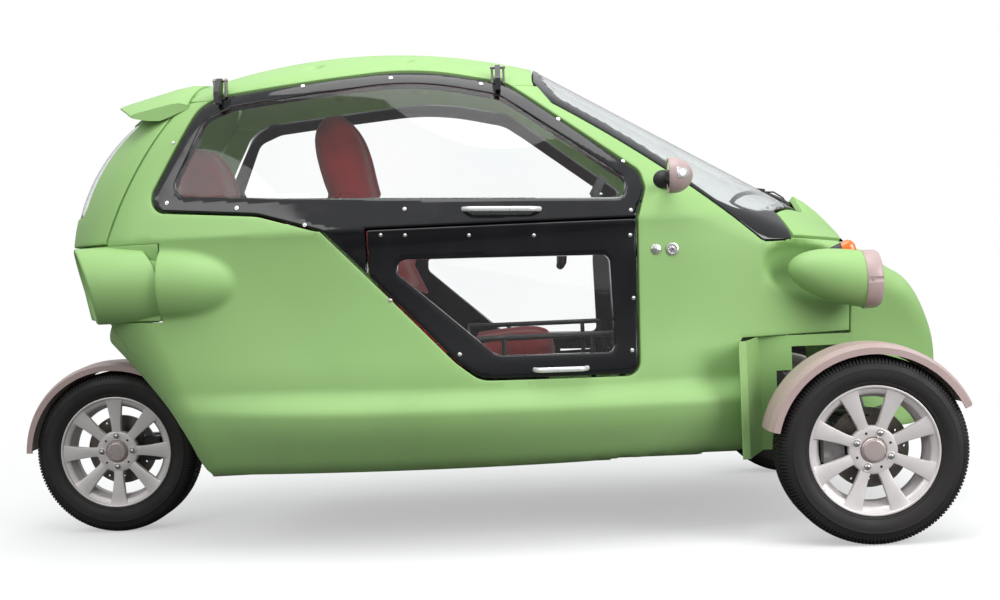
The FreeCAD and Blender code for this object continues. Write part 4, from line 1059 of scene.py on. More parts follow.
def spoiler_point(share, drop, across):
    """A point of the lip, by its share of the way back, its height and its place across."""
    edge = across / SPOILER_HALF
    reach = 1 - SPOILER_SWEEP * edge ** 2
    fall = SPOILER_FALL[0] + (SPOILER_FALL[1] - SPOILER_FALL[0]) * share
    x = SPOILER_FRONT_X + (SPOILER_TIP_X - SPOILER_FRONT_X) * share * reach
    return x, across, drop - fall * edge ** 2 - SPOILER_END_DROP * edge ** 6


rows = [(s, z) for s, z, thick in SPOILER_REACH] + [(s, z - thick) for s, z, thick in SPOILER_REACH[::-1]]
columns = np.linspace(-SPOILER_HALF, SPOILER_HALF, 61)
spoiler = outward(([spoiler_point(s, z, across_y) for across_y in columns for s, z in rows],
                   ring_faces(len(columns), len(rows))))

# ---------------------------------------------------------------- black borders, and the panels dressed
# The door leaves and the screen's surround are painted gloss black on the inside of clear sheet.
# The bonnet's ridge ends in a small upright wall over the cowl, of the same green sheet.
black_gloss = Finish("black_border", (0.006, 0.006, 0.007), roughness=0.09, ior=1.49)
smudge = black_gloss.between(black_gloss.noise(9.0, 5.0, 0.6), 0.45, 0.8)
black_gloss.wear(roughness=0.06 + 0.12 * smudge,
                 base_color=black_gloss.colours(smudge * 0.5, (0.005, 0.005, 0.006), (0.014, 0.014, 0.015)))
black_gloss = black_gloss.bumped(black_gloss.noise(5.0, 1.0), 0.0012, 0.25).material
door_clear = clear_sheet("door_clear", (0.975, 0.99, 0.99))
screen_clear = clear_sheet("screen_clear", (0.93, 0.96, 0.96))
dressed("roof_shell", roof_mesh, green, "root", "roof_panel")
dressed("hatch_shell", together(gate_mesh, spoiler), green, "tailgate", "tailgate_panel")
dressed("hatch_pane", rear_pane, screen_clear, "tailgate", "tailgate_window")
dressed("nose_shell", nose_mesh, green, "root", "nose_panel")
RIDGE_WALL = (0.005, 0, 0)
ridge_corners = [ridge_top, ridge_foot, ridge_foot + RIDGE_WALL, ridge_top + RIDGE_WALL]
ridge_wall = outward((np.stack(ridge_corners, axis=1).reshape(-1, 3), ring_faces(len(ridge_ys), 4)))
dressed("bonnet_shell", together(bonnet_mesh, ridge_wall), green, "bonnet", "bonnet_panel")
dressed("screen_frame", surround_mesh, black_gloss, "root", "windscreen_surround")
dressed("screen_pane", screen_mesh, screen_clear, "root", "windscreen")
for name, side in SIDES:
    for leaf, border, pane in (("upper", upper_border, upper_pane), ("lower", lower_border, lower_pane)):
        body = f"{leaf}_door_body_{name}"
        dressed(f"{leaf}_border_{name}", on_side(side, border), black_gloss, body, f"{leaf}_door_{name}")
        dressed(f"{leaf}_pane_{name}", on_side(side, pane), door_clear, body, f"{leaf}_door_glass_{name}")

# ---------------------------------------------------------------- tail fairing, pods and lamps
# A belt of the same green sheet closes the tail below the hatch. It carries two round pods whose
# ends lean; each pod has a red lamp let into its back and a sunk collar toward the flank.
POD_RADIUS = 0.122
POD_LEAN = 0.26
POD_TOE = (0.40, 0.62)
POD_REAR_X = -1.222
POD_FRONT_X = -1.022
COLLAR_DROP = 0.024


def pod_lean(x, y, z):
    """How far back a slice of the pod stands at each place across it; its front end toes out more."""
    toe = np.interp(x, (POD_REAR_X, POD_FRONT_X), POD_TOE)
    return toe * (-y - TAIL_POD_Y) - POD_LEAN * (z - TAIL_POD_Z)


def leaned_rings(stations, parts=72):
    """Rings of the right pod from (x, radius) stations, each set back by the pod's lean."""
    verts, faces = turned_along_x(stations, -TAIL_POD_Y, TAIL_POD_Z, parts)
    return outward(([(x + float(pod_lean(x, y, z)), y, z) for x, y, z in verts], faces))


def ended(x_rear, x_front, radius, roll):
    """Stations of a pod slice with rolled ends."""
    bends = np.radians((0, 22, 45, 67, 90))
    front = [(x_front - roll * (1 - math.sin(a)), radius - roll * (1 - math.cos(a))) for a in bends]
    rear = [(x_rear + roll * (1 - math.sin(a)), radius - roll * (1 - math.cos(a))) for a in bends[::-1]]
    return rear + front


POD_BOWL = ((0.075, 0.020), (0.072, 0.078), (0.050, 0.094), (0.006, 0.106))
POD_LENS = ((0.070, 0.040), (0.052, 0.088), (0.042, 0.088), (0.030, 0.083), (0.022, 0.062),
            (0.018, 0.030), (0.017, 0.004))
COLLAR_RADIUS = POD_RADIUS - COLLAR_DROP
pod_slice = leaned_rings(
    [(POD_REAR_X + x, radius) for x, radius in POD_BOWL] + ended(POD_REAR_X, POD_FRONT_X, POD_RADIUS, 0.008)
    + [(POD_FRONT_X - 0.004, 0.104), (POD_FRONT_X - 0.060, 0.100)])
pod_collar = leaned_rings([(POD_FRONT_X - 0.030, COLLAR_RADIUS - 0.004), (POD_FRONT_X - 0.020, COLLAR_RADIUS),
                           (POD_FRONT_X + 0.050, COLLAR_RADIUS), (POD_FRONT_X + 0.056, 0.080)])
pod_lens = leaned_rings([(POD_REAR_X + x, radius) for x, radius in POD_LENS])
TAIL_FOOT_Z = 0.746
TAIL_HEAD_Z = TAIL_SEAM_Z - 0.003
TAIL_EDGE_X = TAIL_FRONT_X - 0.004
tail_turns = np.linspace(-1, 1, 75)


def tail_line(height):
    found = belt(body_form, height, TAIL_AXIS_X, 180 + tail_turns * 120)
    return found[found[:, 0] < TAIL_EDGE_X]


tail_low, tail_high = tail_line(TAIL_FOOT_Z), tail_line(TAIL_HEAD_Z)
first_side = 1 if tail_low[0, 1] > 0 else -1
tail_end = {side: upright_seam(body_form, TAIL_EDGE_X, TAIL_FOOT_Z, TAIL_HEAD_Z, side) for side in (-1, 1)}
tail_loop = tidy(np.vstack([
    tail_low, tail_end[-first_side], tail_high[::-1], tail_end[first_side][::-1]]), 0.004)
tail_belt = panel_mesh(body_form, Round(TAIL_AXIS_X, WRAP_RADIUS, -1), tail_loop, depth=0.024, rim=0.004)
pods = together(pod_slice, pod_collar)
dressed("tail_belt", together(tail_belt, with_mirror(pods)), green, "root", "tail_fairing")
dressed("tail_lamp_lenses", with_mirror(pod_lens), red_lens, "root", "tail_lamps")

# ---------------------------------------------------------------- wheels
# Each wheel is a cast eight spoke rim with a blunt cap and four round headed bolts, in a road
# tyre whose tread is cut into blocks. The sections are turned; spokes, bolts and blocks are
# repeated round the axle by one node tree. A wheel is drawn with its outer face toward -Y.
def node_group(name, *inputs):
    tree = bpy.data.node_groups.new(name, "GeometryNodeTree")
    for label, kind in inputs:
        tree.interface.new_socket(label, in_out="INPUT", socket_type=f"NodeSocket{kind}")
    tree.interface.new_socket("Pieces", in_out="OUTPUT", socket_type="NodeSocketGeometry")
    return tree, tree.nodes.new("NodeGroupInput").outputs


def wired(tree, kind, inputs=None, settings=None):
    made = tree.nodes.new(kind)
    for key, value in (settings or {}).items():
        setattr(made, key, value)
    for key, value in (inputs or {}).items():
        if isinstance(value, bpy.types.NodeSocket):
            tree.links.new(value, made.inputs[key])
        else:
            made.inputs[key].default_value = value
    return made.outputs


def ended_tree(tree, instances, finish):
    real = wired(tree, "GeometryNodeRealizeInstances", {"Geometry": instances})
    painted = wired(tree, "GeometryNodeSetMaterial", {"Geometry": real[0], "Material": finish})
    tree.links.new(painted[0], tree.nodes.new("NodeGroupOutput").inputs[0])
    return tree


around_axle, given = node_group("repeat_round_axle", ("Item", "Geometry"), ("Count", "Int"),
                                ("First Turn", "Float"), ("Finish", "Material"))
step_turn = wired(around_axle, "ShaderNodeMath", {0: math.tau, 1: given["Count"]}, {"operation": "DIVIDE"})
index = wired(around_axle, "GeometryNodeInputIndex")
turned_by = wired(around_axle, "ShaderNodeMath", {0: index[0], 1: step_turn[0], 2: given["First Turn"]},
                  {"operation": "MULTIPLY_ADD"})
spin = wired(around_axle, "ShaderNodeCombineXYZ", {"Y": turned_by[0]})
spun = wired(around_axle, "FunctionNodeEulerToRotation", {0: spin[0]})
spots = wired(around_axle, "GeometryNodePoints", {"Count": given["Count"]})
ended_tree(around_axle, wired(around_axle, "GeometryNodeInstanceOnPoints", {
    "Points": spots[0], "Instance": given["Item"], "Rotation": spun[0]})[0], given["Finish"])


def nodes_result(tree, item, **values):
    """Run a node tree over an object and give back the vertices and faces it makes."""
    run = item.modifiers.new("nodes", "NODES")
    run.node_group = tree
    for socket in tree.interface.items_tree:
        key = socket.name.lower().replace(" ", "_")
        if socket.in_out == "INPUT" and key in values:
            run[socket.identifier] = values[key]
    item.data.update()
    made = bpy.data.meshes.new_from_object(item.evaluated_get(bpy.context.evaluated_depsgraph_get()))
    result = np.array([v.co[:] for v in made.vertices]), [tuple(f.vertices) for f in made.polygons]
    bpy.data.objects.remove(item)
    bpy.data.meshes.remove(made)
    return result


def repeated(parts, count, first=0.0):
    """Copies of a mesh turned in even steps round the axle."""
    return nodes_result(around_axle, mesh_object("item", *parts), count=count, first_turn=math.radians(first))


def turned_section(section, parts=120):
    """A ring turned round the Y axis from (radius, offset) corners."""
    verts, faces = turned_along_x([(a, r) for r, a in section], 0.0, 0.0, parts, closed=True)
    return outward((verts[:, (2, 0, 1)], faces))


def bar(outline, rear, front):
    """A bar along X between two places, with a (y, z) outline."""
    return outward(([(x, y, z) for x in (rear, front) for y, z in outline], ring_faces(2, len(outline))))


def block(section, half):
    """A block with a (radius, offset) outline, as long as 2 x half round the wheel."""
    return bar([(a, r) for r, a in section], -half, half)


def both_walls(section):
    return section + [(r, -a) for r, a in section[::-1]]


TYRE_WALL = [(0.1800, -0.0570), (0.1930, -0.0575), (0.1955, -0.0655), (0.2000, -0.0672), (0.2012, -0.0690),
             (0.2024, -0.0684), (0.2080, -0.0717), (0.2180, -0.0753), (0.2280, -0.0768), (0.2390, -0.0766),
             (0.2400, -0.0773), (0.2415, -0.0771), (0.2424, -0.0761), (0.2510, -0.0739), (0.2585, -0.0708),
             (0.2645, -0.0665), (0.2700, -0.0605), (0.2738, -0.0520), (0.2752, -0.0400), (0.2756, -0.0200)]
SHOULDER_BLOCK = [
    (0.2570, -0.0700), (0.2590, -0.0728), (0.2640, -0.0706), (0.2705, -0.0662), (0.2758, -0.0596),
    (0.2788, -0.0520), (0.2796, -0.0440), (0.2730, -0.0440), (0.2690, -0.0570),
]
RIM_WALL = [(0.1905, -0.0662), (0.1925, -0.0655), (0.1932, -0.0630), (0.1930, -0.0600), (0.1910, -0.0585),
            (0.1790, -0.0575), (0.1785, -0.0400), (0.1620, -0.0200), (0.1620, 0.0100), (0.1785, 0.0350),
            (0.1785, 0.0585), (0.1925, 0.0585), (0.1932, 0.0610), (0.1925, 0.0650), (0.1850, 0.0650),
            (0.1740, 0.0540), (0.1715, 0.0360), (0.1565, 0.0120), (0.1565, -0.0220), (0.1640, -0.0330),
            (0.1660, -0.0380), (0.1668, -0.0470), (0.1690, -0.0515), (0.1765, -0.0560), (0.1810, -0.0580),
            (0.1838, -0.0598), (0.1850, -0.0628), (0.1860, -0.0645), (0.1880, -0.0660)]
SPOKE = (
    # radius, half width, face, depth
    (0.054, 0.0235, -0.0455, 0.018), (0.064, 0.0190, -0.0478, 0.019), (0.072, 0.0165, -0.0490, 0.019),
    (0.084, 0.0163, -0.0503, 0.018), (0.100, 0.0175, -0.0520, 0.017), (0.118, 0.0196, -0.0540, 0.016),
    (0.136, 0.0219, -0.0560, 0.015), (0.152, 0.0242, -0.0577, 0.014), (0.165, 0.0264, -0.0592, 0.013),
    (0.175, 0.0290, -0.0606, 0.013), (0.182, 0.0322, -0.0618, 0.013), (0.1865, 0.0350, -0.0628, 0.010),
)
HUB = [(0.0360, -0.0440), (0.0385, -0.0462), (0.0400, -0.0490), (0.0440, -0.0500), (0.0640, -0.0494),
       (0.0690, -0.0480), (0.0720, -0.0440), (0.0722, -0.0260), (0.0360, -0.0260)]
CAP = [(0.0, -0.0590), (0.0270, -0.0590), (0.0300, -0.0586), (0.0316, -0.0572), (0.0326, -0.0530),
       (0.0362, -0.0500), (0.0368, -0.0440), (0.0, -0.0440)]
BOLT_CIRCLE = 0.0535
BOLT_SEAT = [(0.0100, -0.0440), (0.0110, -0.0500), (0.0132, -0.0512), (0.0148, -0.0504), (0.0150, -0.0440)]
BOLT_HEAD = [(0.0, -0.0562), (0.0040, -0.0559), (0.0072, -0.0545), (0.0092, -0.0522), (0.0098, -0.0490),
             (0.0098, -0.0440), (0.0, -0.0440)]
PLUG = [(0.0, -0.0506), (0.0036, -0.0506), (0.0040, -0.0500), (0.0040, -0.0470), (0.0, -0.0470)]


SPOKE_EDGE = 0.0034
SPOKE_CROWN = 0.0006


def spoke_mesh():
    """One spoke: rounded edges, a slightly crowned face and a ribbed back."""
    verts = []
    for radius, half, face, depth in SPOKE:
        corner, inset = SPOKE_EDGE * 0.35, half - SPOKE_EDGE * 0.4
        section = [(-half, depth), (-half, SPOKE_EDGE + SPOKE_CROWN), (-inset, corner),
                   (-half + SPOKE_EDGE, SPOKE_CROWN), (0.0, 0.0), (half - SPOKE_EDGE, SPOKE_CROWN),
                   (inset, corner), (half, SPOKE_EDGE + SPOKE_CROWN), (half, depth),
                   (half * 0.5, depth + 0.004), (-half * 0.5, depth + 0.004)]
        verts.extend((x, face + y, radius) for x, y in section)
    return outward((verts, ring_faces(len(SPOKE), len(section))))


def at_bolt(section):
    """A part turned round the axle, moved out to the bolt circle."""
    verts, faces = turned_section(section, 24)
    return verts + (0, 0, BOLT_CIRCLE), faces


alloy = together(turned_section(RIM_WALL), turned_section(HUB, 96))
spokes, bolts, plugs = spoke_mesh(), at_bolt(BOLT_HEAD), at_bolt(PLUG)
SHOULDER_COUNT, SHOULDER_HALF = 158, 0.0033
TREAD_COUNT, TREAD_HALF = 82, 0.0088
TREAD_FOOT, TREAD_TOP, TREAD_CROWN = 0.2730, 0.2795, 0.2797
TREAD_ROWS = ((-0.0395, 0.0215, 0), (-0.0120, 0.0240, 1.3), (0.0180, 0.0215, 2.6))
shoulders = [block([(r, a * way) for r, a in SHOULDER_BLOCK], SHOULDER_HALF) for way in (1, -1)]
tread = together(
    turned_section(both_walls(TYRE_WALL), 144), repeated(together(*shoulders), SHOULDER_COUNT),
    *(repeated(block([(TREAD_FOOT, a), (TREAD_TOP, a), (TREAD_CROWN, a + wide), (TREAD_FOOT, a + wide)],
                     TREAD_HALF), TREAD_COUNT, first) for a, wide, first in TREAD_ROWS))
cap_finish = plain_finish("wheel_cap", (0.46, 0.385, 0.37), 0.30, 20.0, 0.05, metallic=0.35)
bolt_finish = plain_finish("bolt_steel", (0.50, 0.50, 0.48), 0.24, 60.0, 0.15, metallic=1.0)
AXLE_Z = 0.280
for wheel_name, x, y, side, first, body in (
        ("front_right", 1.180, -0.680, -1, 22.5, "wheel_front_right"),
        ("front_left", 1.180, 0.680, 1, 22.5, "wheel_front_left"),
        ("rear", -1.278, -0.005, -1, 0.0, "wheel_rear")):
    for label, parts, finish, node in (
            ("tyre", tread, rubber, f"tyre_{wheel_name}"),
            ("alloy", together(alloy, repeated(spokes, 8, first), repeated(at_bolt(BOLT_SEAT), 4, first)),
             silver_alloy, f"rim_{wheel_name}"),
            ("bolts", repeated(bolts, 4, first), bolt_finish, None),
            ("plugs", repeated(plugs, 4, first + 45), soft_black, None),
            ("cap", turned_section(CAP, 64), cap_finish, None)):
        verts, faces = parts
        verts = verts * (-side, -side, 1) + (x, y, AXLE_Z)
        dressed(f"{label}_{wheel_name}", (verts, faces), finish, body, *([node] if node else []))

# ---------------------------------------------------------------- rivets of the door leaves
# Stainless dome rivets on thin washers hold the clear sheet to the leaves' hidden frames. One
# node tree makes the rivet and stands it on each point, square to the sheet.
RIVET_RADIUS = 0.0062
RIVET_LIFT = 0.0008
on_points, given = node_group("rivets_on_points", ("Points", "Geometry"), ("Radius", "Float"),
                              ("Finish", "Material"))
ball = wired(on_points, "GeometryNodeMeshUVSphere", {"Segments": 14, "Rings": 8, "Radius": given["Radius"]})
dome = wired(on_points, "GeometryNodeTransform", {"Geometry": ball[0], "Scale": (0.80, 0.80, 0.46)})
disc = wired(on_points, "GeometryNodeMeshCylinder",
             {"Vertices": 18, "Radius": given["Radius"], "Depth": 0.0022})
rivet = on_points.nodes.new("GeometryNodeJoinGeometry")
for piece in (dome, disc):
    on_points.links.new(piece[0], rivet.inputs[0])
facing = wired(on_points, "GeometryNodeInputNamedAttribute", {"Name": "outward"},
               {"data_type": "FLOAT_VECTOR"})
turned_out = wired(on_points, "FunctionNodeAlignRotationToVector", {"Vector": facing[0]}, {"axis": "Z"})
bare_points = wired(on_points, "GeometryNodeMeshToPoints", {"Mesh": given["Points"]})
ended_tree(on_points, wired(on_points, "GeometryNodeInstanceOnPoints", {
    "Points": bare_points[0], "Instance": rivet.outputs[0], "Rotation": turned_out[0]})[0],
    given["Finish"])


def rivets_at(corners):
    """Rivets on the right flank at side view corners."""
    spots = on_flank(body_form, -1, corners)
    ways = slope(body_form, spots)
    mesh = bpy.data.meshes.new("spots")
    mesh.from_pydata([tuple(v) for v in spots + ways * RIVET_LIFT], [], [])
    outward_way = mesh.attributes.new("outward", "FLOAT_VECTOR", "POINT")
    outward_way.data.foreach_set("vector", ways.astype(np.float32).ravel())
    return nodes_result(on_points, added("spots", mesh), radius=RIVET_RADIUS)


UPPER_RIVETS = ((-0.784, 1.429), (-0.500, 1.467), (-0.220, 1.479), (0.064, 1.447), (0.302, 1.321),
                (0.497, 1.178), (0.510, 1.023), (-0.180, 1.057), (-0.488, 1.022), (-0.704, 1.086),
                (-0.933, 1.114), (-0.919, 1.306))
LOWER_RIVETS = ((-0.255, 0.981), (-0.181, 0.977), (0.013, 0.968), (0.210, 0.959), (0.504, 0.947),
                (-0.235, 0.781), (-0.030, 0.609), (0.506, 0.754), (0.494, 0.595))
rivet_steel = plain_finish("rivet_steel", (0.74, 0.74, 0.72), 0.22, 90.0, 0.12, metallic=1.0)
upper_rivets, lower_rivets = rivets_at(UPPER_RIVETS), rivets_at(LOWER_RIVETS)
for name, side in SIDES:
    for label, parts in (("upper", upper_rivets), ("lower", lower_rivets)):
        dressed(f"{label}_rivets_{name}", on_side(side, parts), rivet_steel, f"{label}_door_body_{name}")

# ---------------------------------------------------------------- door handles and locks
# Slim bowed grips of bright alloy, each one section swept along its bow, end in the leaf. A turned
# knob and a round lock with a key slot stand ahead of the door.
def swept(line, sizes, parts=14):
    """A closed tube of (width, height) ellipses along a line of points."""
    line = np.array(line, float)
    ahead = np.gradient(line, axis=0)
    ahead /= np.linalg.norm(ahead, axis=1, keepdims=True)
    across = np.cross(ahead, [0.0, 0.0, 1.0])
    flat = np.linalg.norm(across, axis=1, keepdims=True) < 0.05
    across = np.where(flat, [0.0, 1.0, 0.0], across)
    across /= np.linalg.norm(across, axis=1, keepdims=True)
    raised = np.cross(across, ahead)
    turns = [2 * math.pi * k / parts for k in range(parts)]
    verts = [at + side * wide * math.cos(turn) + up * high * math.sin(turn)
             for at, side, up, (wide, high) in zip(line, across, raised, sizes) for turn in turns]
    return outward((np.array(verts), ring_faces(len(line), parts)))


GRIP_FOOT = 0.006
GRIP_SECTION = (0.0055, 0.0078)


def grip(x_rear, x_front, z_rear, z_front, stand):
    """A bowed grip on the right flank; its ends dip a little into the leaf."""
    shares = np.linspace(0, 1, 33)
    xs, zs = x_rear + (x_front - x_rear) * shares, z_rear + (z_front - z_rear) * shares
    feet = on_flank(body_form, -1, np.stack([xs, zs], axis=1))
    bow = np.minimum(1.0, np.minimum(shares, 1 - shares) / 0.13) ** 0.55
    feet[:, 1] -= (stand + GRIP_FOOT) * bow - GRIP_FOOT
    return swept(feet, [GRIP_SECTION] * len(shares))


HINGE_PIN = (-0.400, 1.500)
HINGE_XS = (-0.770, 0.118)
ARM_HALF = 0.008


def hinge_arm(x):
    """A flat steel arm from the leaf's inside up to its pin."""
    corners = ((0.010, 0.006), (0.010, -0.010), (-0.032, -0.078), (-0.070, -0.078), (-0.070, -0.042),
               (-0.018, 0.006))
    return bar([(HINGE_PIN[0] + y, HINGE_PIN[1] + z) for y, z in corners], x - ARM_HALF, x + ARM_HALF)


upper_grip = grip(-0.004, 0.234, 1.048, 1.038, 0.030)
lower_grip = grip(0.192, 0.357, 0.552, 0.549, 0.026)
hinge_arms = together(*(hinge_arm(x) for x in HINGE_XS))
KNOB = [
    (0.000, 0.0150), (0.0010, 0.0158), (0.0035, 0.0156), (0.0050, 0.0132), (0.0056, 0.0090),
    (0.0075, 0.0075), (0.0085, 0.0040), (0.0086, 0.0003),
]
LOCK = [
    (0.000, 0.0195), (0.0015, 0.0205), (0.0040, 0.0198), (0.0052, 0.0165), (0.0046, 0.0130),
    (0.0048, 0.0090), (0.0062, 0.0080), (0.0064, 0.0040), (0.0050, 0.0034), (0.0048, 0.0003),
]


def button(x, z, profile, parts=32):
    """A turned button square on the flank, from (height, radius) corners."""
    foot = on_flank(body_form, -1, [(x, z)])[0]
    way = slope(body_form, np.array([foot]))[0]
    first = np.cross(way, [0, 0, 1])
    first /= np.linalg.norm(first)
    second = np.cross(way, first)
    turns = [2 * math.pi * k / parts for k in range(parts)]
    verts = [foot + way * height + radius * (first * math.cos(turn) + second * math.sin(turn))
             for height, radius in [(-0.004, profile[0][1])] + profile for turn in turns]
    return outward((np.array(verts), ring_faces(len(profile) + 1, parts)))


locks = together(button(0.582, 0.900, KNOB), button(0.632, 0.898, LOCK))
key_slot = button(0.632, 0.898, [(0.0060, 0.0012), (0.0068, 0.0024), (0.0069, 0.0003)])
handle_alloy = plain_finish("handle_alloy", (0.78, 0.78, 0.78), 0.30, 40.0, 0.06, metallic=0.35)
dressed("door_locks", with_mirror(locks), rivet_steel, "root")
dressed("key_slots", with_mirror(key_slot), soft_black, "root")
for name, side in SIDES:
    for label, parts, finish, nodes in (
            ("upper_door", upper_grip, handle_alloy, ()),
            ("lower_door", lower_grip, handle_alloy, (f"lower_door_handle_{name}",))):
        dressed(f"{label}_grip_{name}", on_side(side, parts), finish, f"{label}_body_{name}", *nodes)
    dressed(f"hinge_arms_{name}", on_side(side, hinge_arms), black_steel,
            f"upper_door_body_{name}", f"upper_door_fittings_{name}")

# ---------------------------------------------------------------- headlamps and indicators
# A round plastic ring clips over each bullet and holds a domed clear lens with a bright bowl
# behind it; a notch in the ring's side takes its screw. An amber lamp sits on a dark foot above.
RING_SECTION = ((1.2165, 0.0880), (1.2175, 0.0902), (1.2200, 0.0910), (1.2500, 0.0904), (1.2600, 0.0886),
                (1.2660, 0.0848), (1.2680, 0.0795), (1.2672, 0.0742), (1.2620, 0.0722), (1.2400, 0.0715),
                (1.2200, 0.0700))
LENS_SECTION = ((1.2600, 0.0714), (1.2650, 0.0706), (1.2705, 0.0600), (1.2745, 0.0400), (1.2765, 0.0200),
                (1.2770, 0.0005), (1.2740, 0.0005), (1.2735, 0.0200), (1.2715, 0.0395), (1.2676, 0.0590),
                (1.2628, 0.0690))
BOWL_SECTION = ((1.2615, 0.0712), (1.2500, 0.0690), (1.2370, 0.0570), (1.2280, 0.0390), (1.2240, 0.0170),
                (1.2240, 0.0005), (1.2220, 0.0005), (1.2220, 0.0180), (1.2260, 0.0400), (1.2350, 0.0590),
                (1.2480, 0.0700))
BULB_SECTION = (
    (1.2240, 0.0120), (1.2300, 0.0110), (1.2330, 0.0070), (1.2480, 0.0068), (1.2520, 0.0045),
    (1.2530, 0.0004),
)


def lamp_part(section, parts=96, closed=True):
    return outward(turned_along_x(section, -POD_Y, POD_Z, parts, closed))


NOTCH_DEPTH, NOTCH_HALF = 0.0055, 0.0085
NOTCH_REAR_X, NOTCH_RAMP, NOTCH_FROM = 1.232, 0.012, 0.082
ring_verts, lamp_ring_faces = lamp_part(RING_SECTION, 192)
aside = np.clip(1 - np.abs(ring_verts[:, 2] - POD_Z) / NOTCH_HALF, 0, 1) * (ring_verts[:, 1] < -POD_Y)
from_middle = np.hypot(ring_verts[:, 1] + POD_Y, ring_verts[:, 2] - POD_Z)
forward_part = np.clip((ring_verts[:, 0] - NOTCH_REAR_X) / NOTCH_RAMP, 0, 1) * (from_middle > NOTCH_FROM)
ring_verts[:, 1] += NOTCH_DEPTH * np.minimum(1, aside * 2.2) * forward_part
lamp_screw = turned_along_x([(1.231, 0.004), (1.2335, 0.004)], -POD_Y - 0.0888, POD_Z, 16)
lamp_bowl, lamp_lens = lamp_part(BOWL_SECTION), lamp_part(LENS_SECTION)
lamp_bulb = lamp_part(BULB_SECTION, 24, False)
INDICATOR = (
    # x, half width, top
    (1.112, 0.004, 0.8700), (1.120, 0.010, 0.8735), (1.135, 0.016, 0.8800), (1.150, 0.0195, 0.8868),
    (1.166, 0.0225, 0.8935), (1.178, 0.0240, 0.9000), (1.188, 0.0245, 0.9030), (1.198, 0.0240, 0.9010),
    (1.206, 0.0215, 0.8940), (1.211, 0.0170, 0.8850), (1.213, 0.0100, 0.8780),
)
INDICATOR_FOOT = 0.862
INDICATOR_Y = -0.458


def blister(rows, foot, middle, parts=20):
    """A rounded blister on a flat foot, from (x, half width, top) rows."""
    verts = []
    for x, half, top in rows:
        for k in range(parts + 1):
            c, s = math.cos(math.pi * k / parts), math.sin(math.pi * k / parts)
            across, up = math.copysign(abs(c) ** 0.7, c), abs(s) ** 0.8
            verts.append((x, middle + half * across, foot + (top - foot) * up))
    return outward((np.array(verts), ring_faces(len(rows), parts + 1)))


indicator_foot = blister(INDICATOR[:5] + tuple((x, half + 0.0012, 0.8725) for x, half, top in INDICATOR[5:]),
                         INDICATOR_FOOT, INDICATOR_Y)
indicator_lens = blister(INDICATOR[4:], INDICATOR_FOOT + 0.006, INDICATOR_Y)
bowl_silver = plain_finish("lamp_bowl", (0.86, 0.86, 0.87), 0.12, 20.0, 0.05, metallic=1.0)
amber_plastic = plain_finish("amber_plastic", (0.80, 0.17, 0.012), 0.16, 200.0, 0.35, coat_weight=0.6)
for piece_name, parts, finish, nodes in (
        ("headlamp_rings", together((ring_verts, lamp_ring_faces), lamp_screw), taupe, ("headlight_rings",)),
        ("headlamp_bowls", together(lamp_bowl, lamp_bulb), bowl_silver, ()),
        ("headlamp_lenses", lamp_lens, clear_lens, ("headlight_lenses",)),
        ("indicator_feet", indicator_foot, dark_plastic, ("indicators",)),
        ("indicator_lenses", indicator_lens, amber_plastic, ())):
    dressed(piece_name, with_mirror(parts), finish, "root", *nodes)

# ---------------------------------------------------------------- mirrors
# Each mirror is a domed cup of the same taupe plastic on a black ball joint, with a flat round
# glass toward the driver and a clear side repeater let into its outer flank.
MIRROR_AT = (0.613, -0.702, 1.115)
CUP_SECTION = (
    (0.0035, 0.0465), (0.0005, 0.0470), (-0.0005, 0.0490), (0.0005, 0.0515), (0.0030, 0.0528),
    (0.0100, 0.0532), (0.0220, 0.0526), (0.0340, 0.0500), (0.0450, 0.0452), (0.0545, 0.0386),
    (0.0625, 0.0300), (0.0685, 0.0195), (0.0722, 0.0095), (0.0735, 0.0004),
)
GLASS_SECTION = ((0.0015, 0.0005), (0.0015, 0.0462), (0.0038, 0.0466))
REPEATER_SPAN = (0.022, 0.060)
REPEATER_TURNS = np.radians(np.linspace(-14, 24, 13))
REPEATER_XS = np.linspace(*REPEATER_SPAN, 11)
REPEATER_LIFT = 0.0030
REPEATER_EDGE, REPEATER_EDGE_TURN = 0.003, 0.07


def mirror_part(section, parts):
    return outward(turned_along_x([(MIRROR_AT[0] + x, r) for x, r in section], *MIRROR_AT[1:], parts))


def sheet_faces(rows, columns):
    """The four cornered faces of a sheet of points, row after row."""
    return [(i * columns + k, i * columns + k + 1, (i + 1) * columns + k + 1, (i + 1) * columns + k)
            for i in range(rows - 1) for k in range(columns - 1)]


def closed_sheet(verts, under, faces):
    """A sheet of faces with a second one under it, closed round its edges."""
    count = len(verts)
    made = [tuple(f) for f in faces] + [tuple(i + count for i in f)[::-1] for f in faces]
    sides = {(f[i], f[(i + 1) % len(f)]) for f in faces for i in range(len(f))}
    made += [(b, a, a + count, b + count) for a, b in sides if (b, a) not in sides]
    return outward((np.concatenate([verts, under]), made))


def repeater_sheet(lift):
    """Points over the cup's flank; a raised sheet falls to the cup at its edges."""
    cup_x, cup_radius = np.array(CUP_SECTION[3:]).T
    points = []
    for x in REPEATER_XS:
        for turn in REPEATER_TURNS:
            along = min(abs(x - end) for end in REPEATER_SPAN) / REPEATER_EDGE
            around = min(abs(turn - end) for end in REPEATER_TURNS[[0, -1]]) / REPEATER_EDGE_TURN
            edge = min(1.0, along, around) ** 0.5 if lift > 0 else 1
            r = float(np.interp(x, cup_x, cup_radius)) + lift * edge
            points.append(np.array(MIRROR_AT) + (x, -r * math.cos(turn), r * math.sin(turn)))
    return points


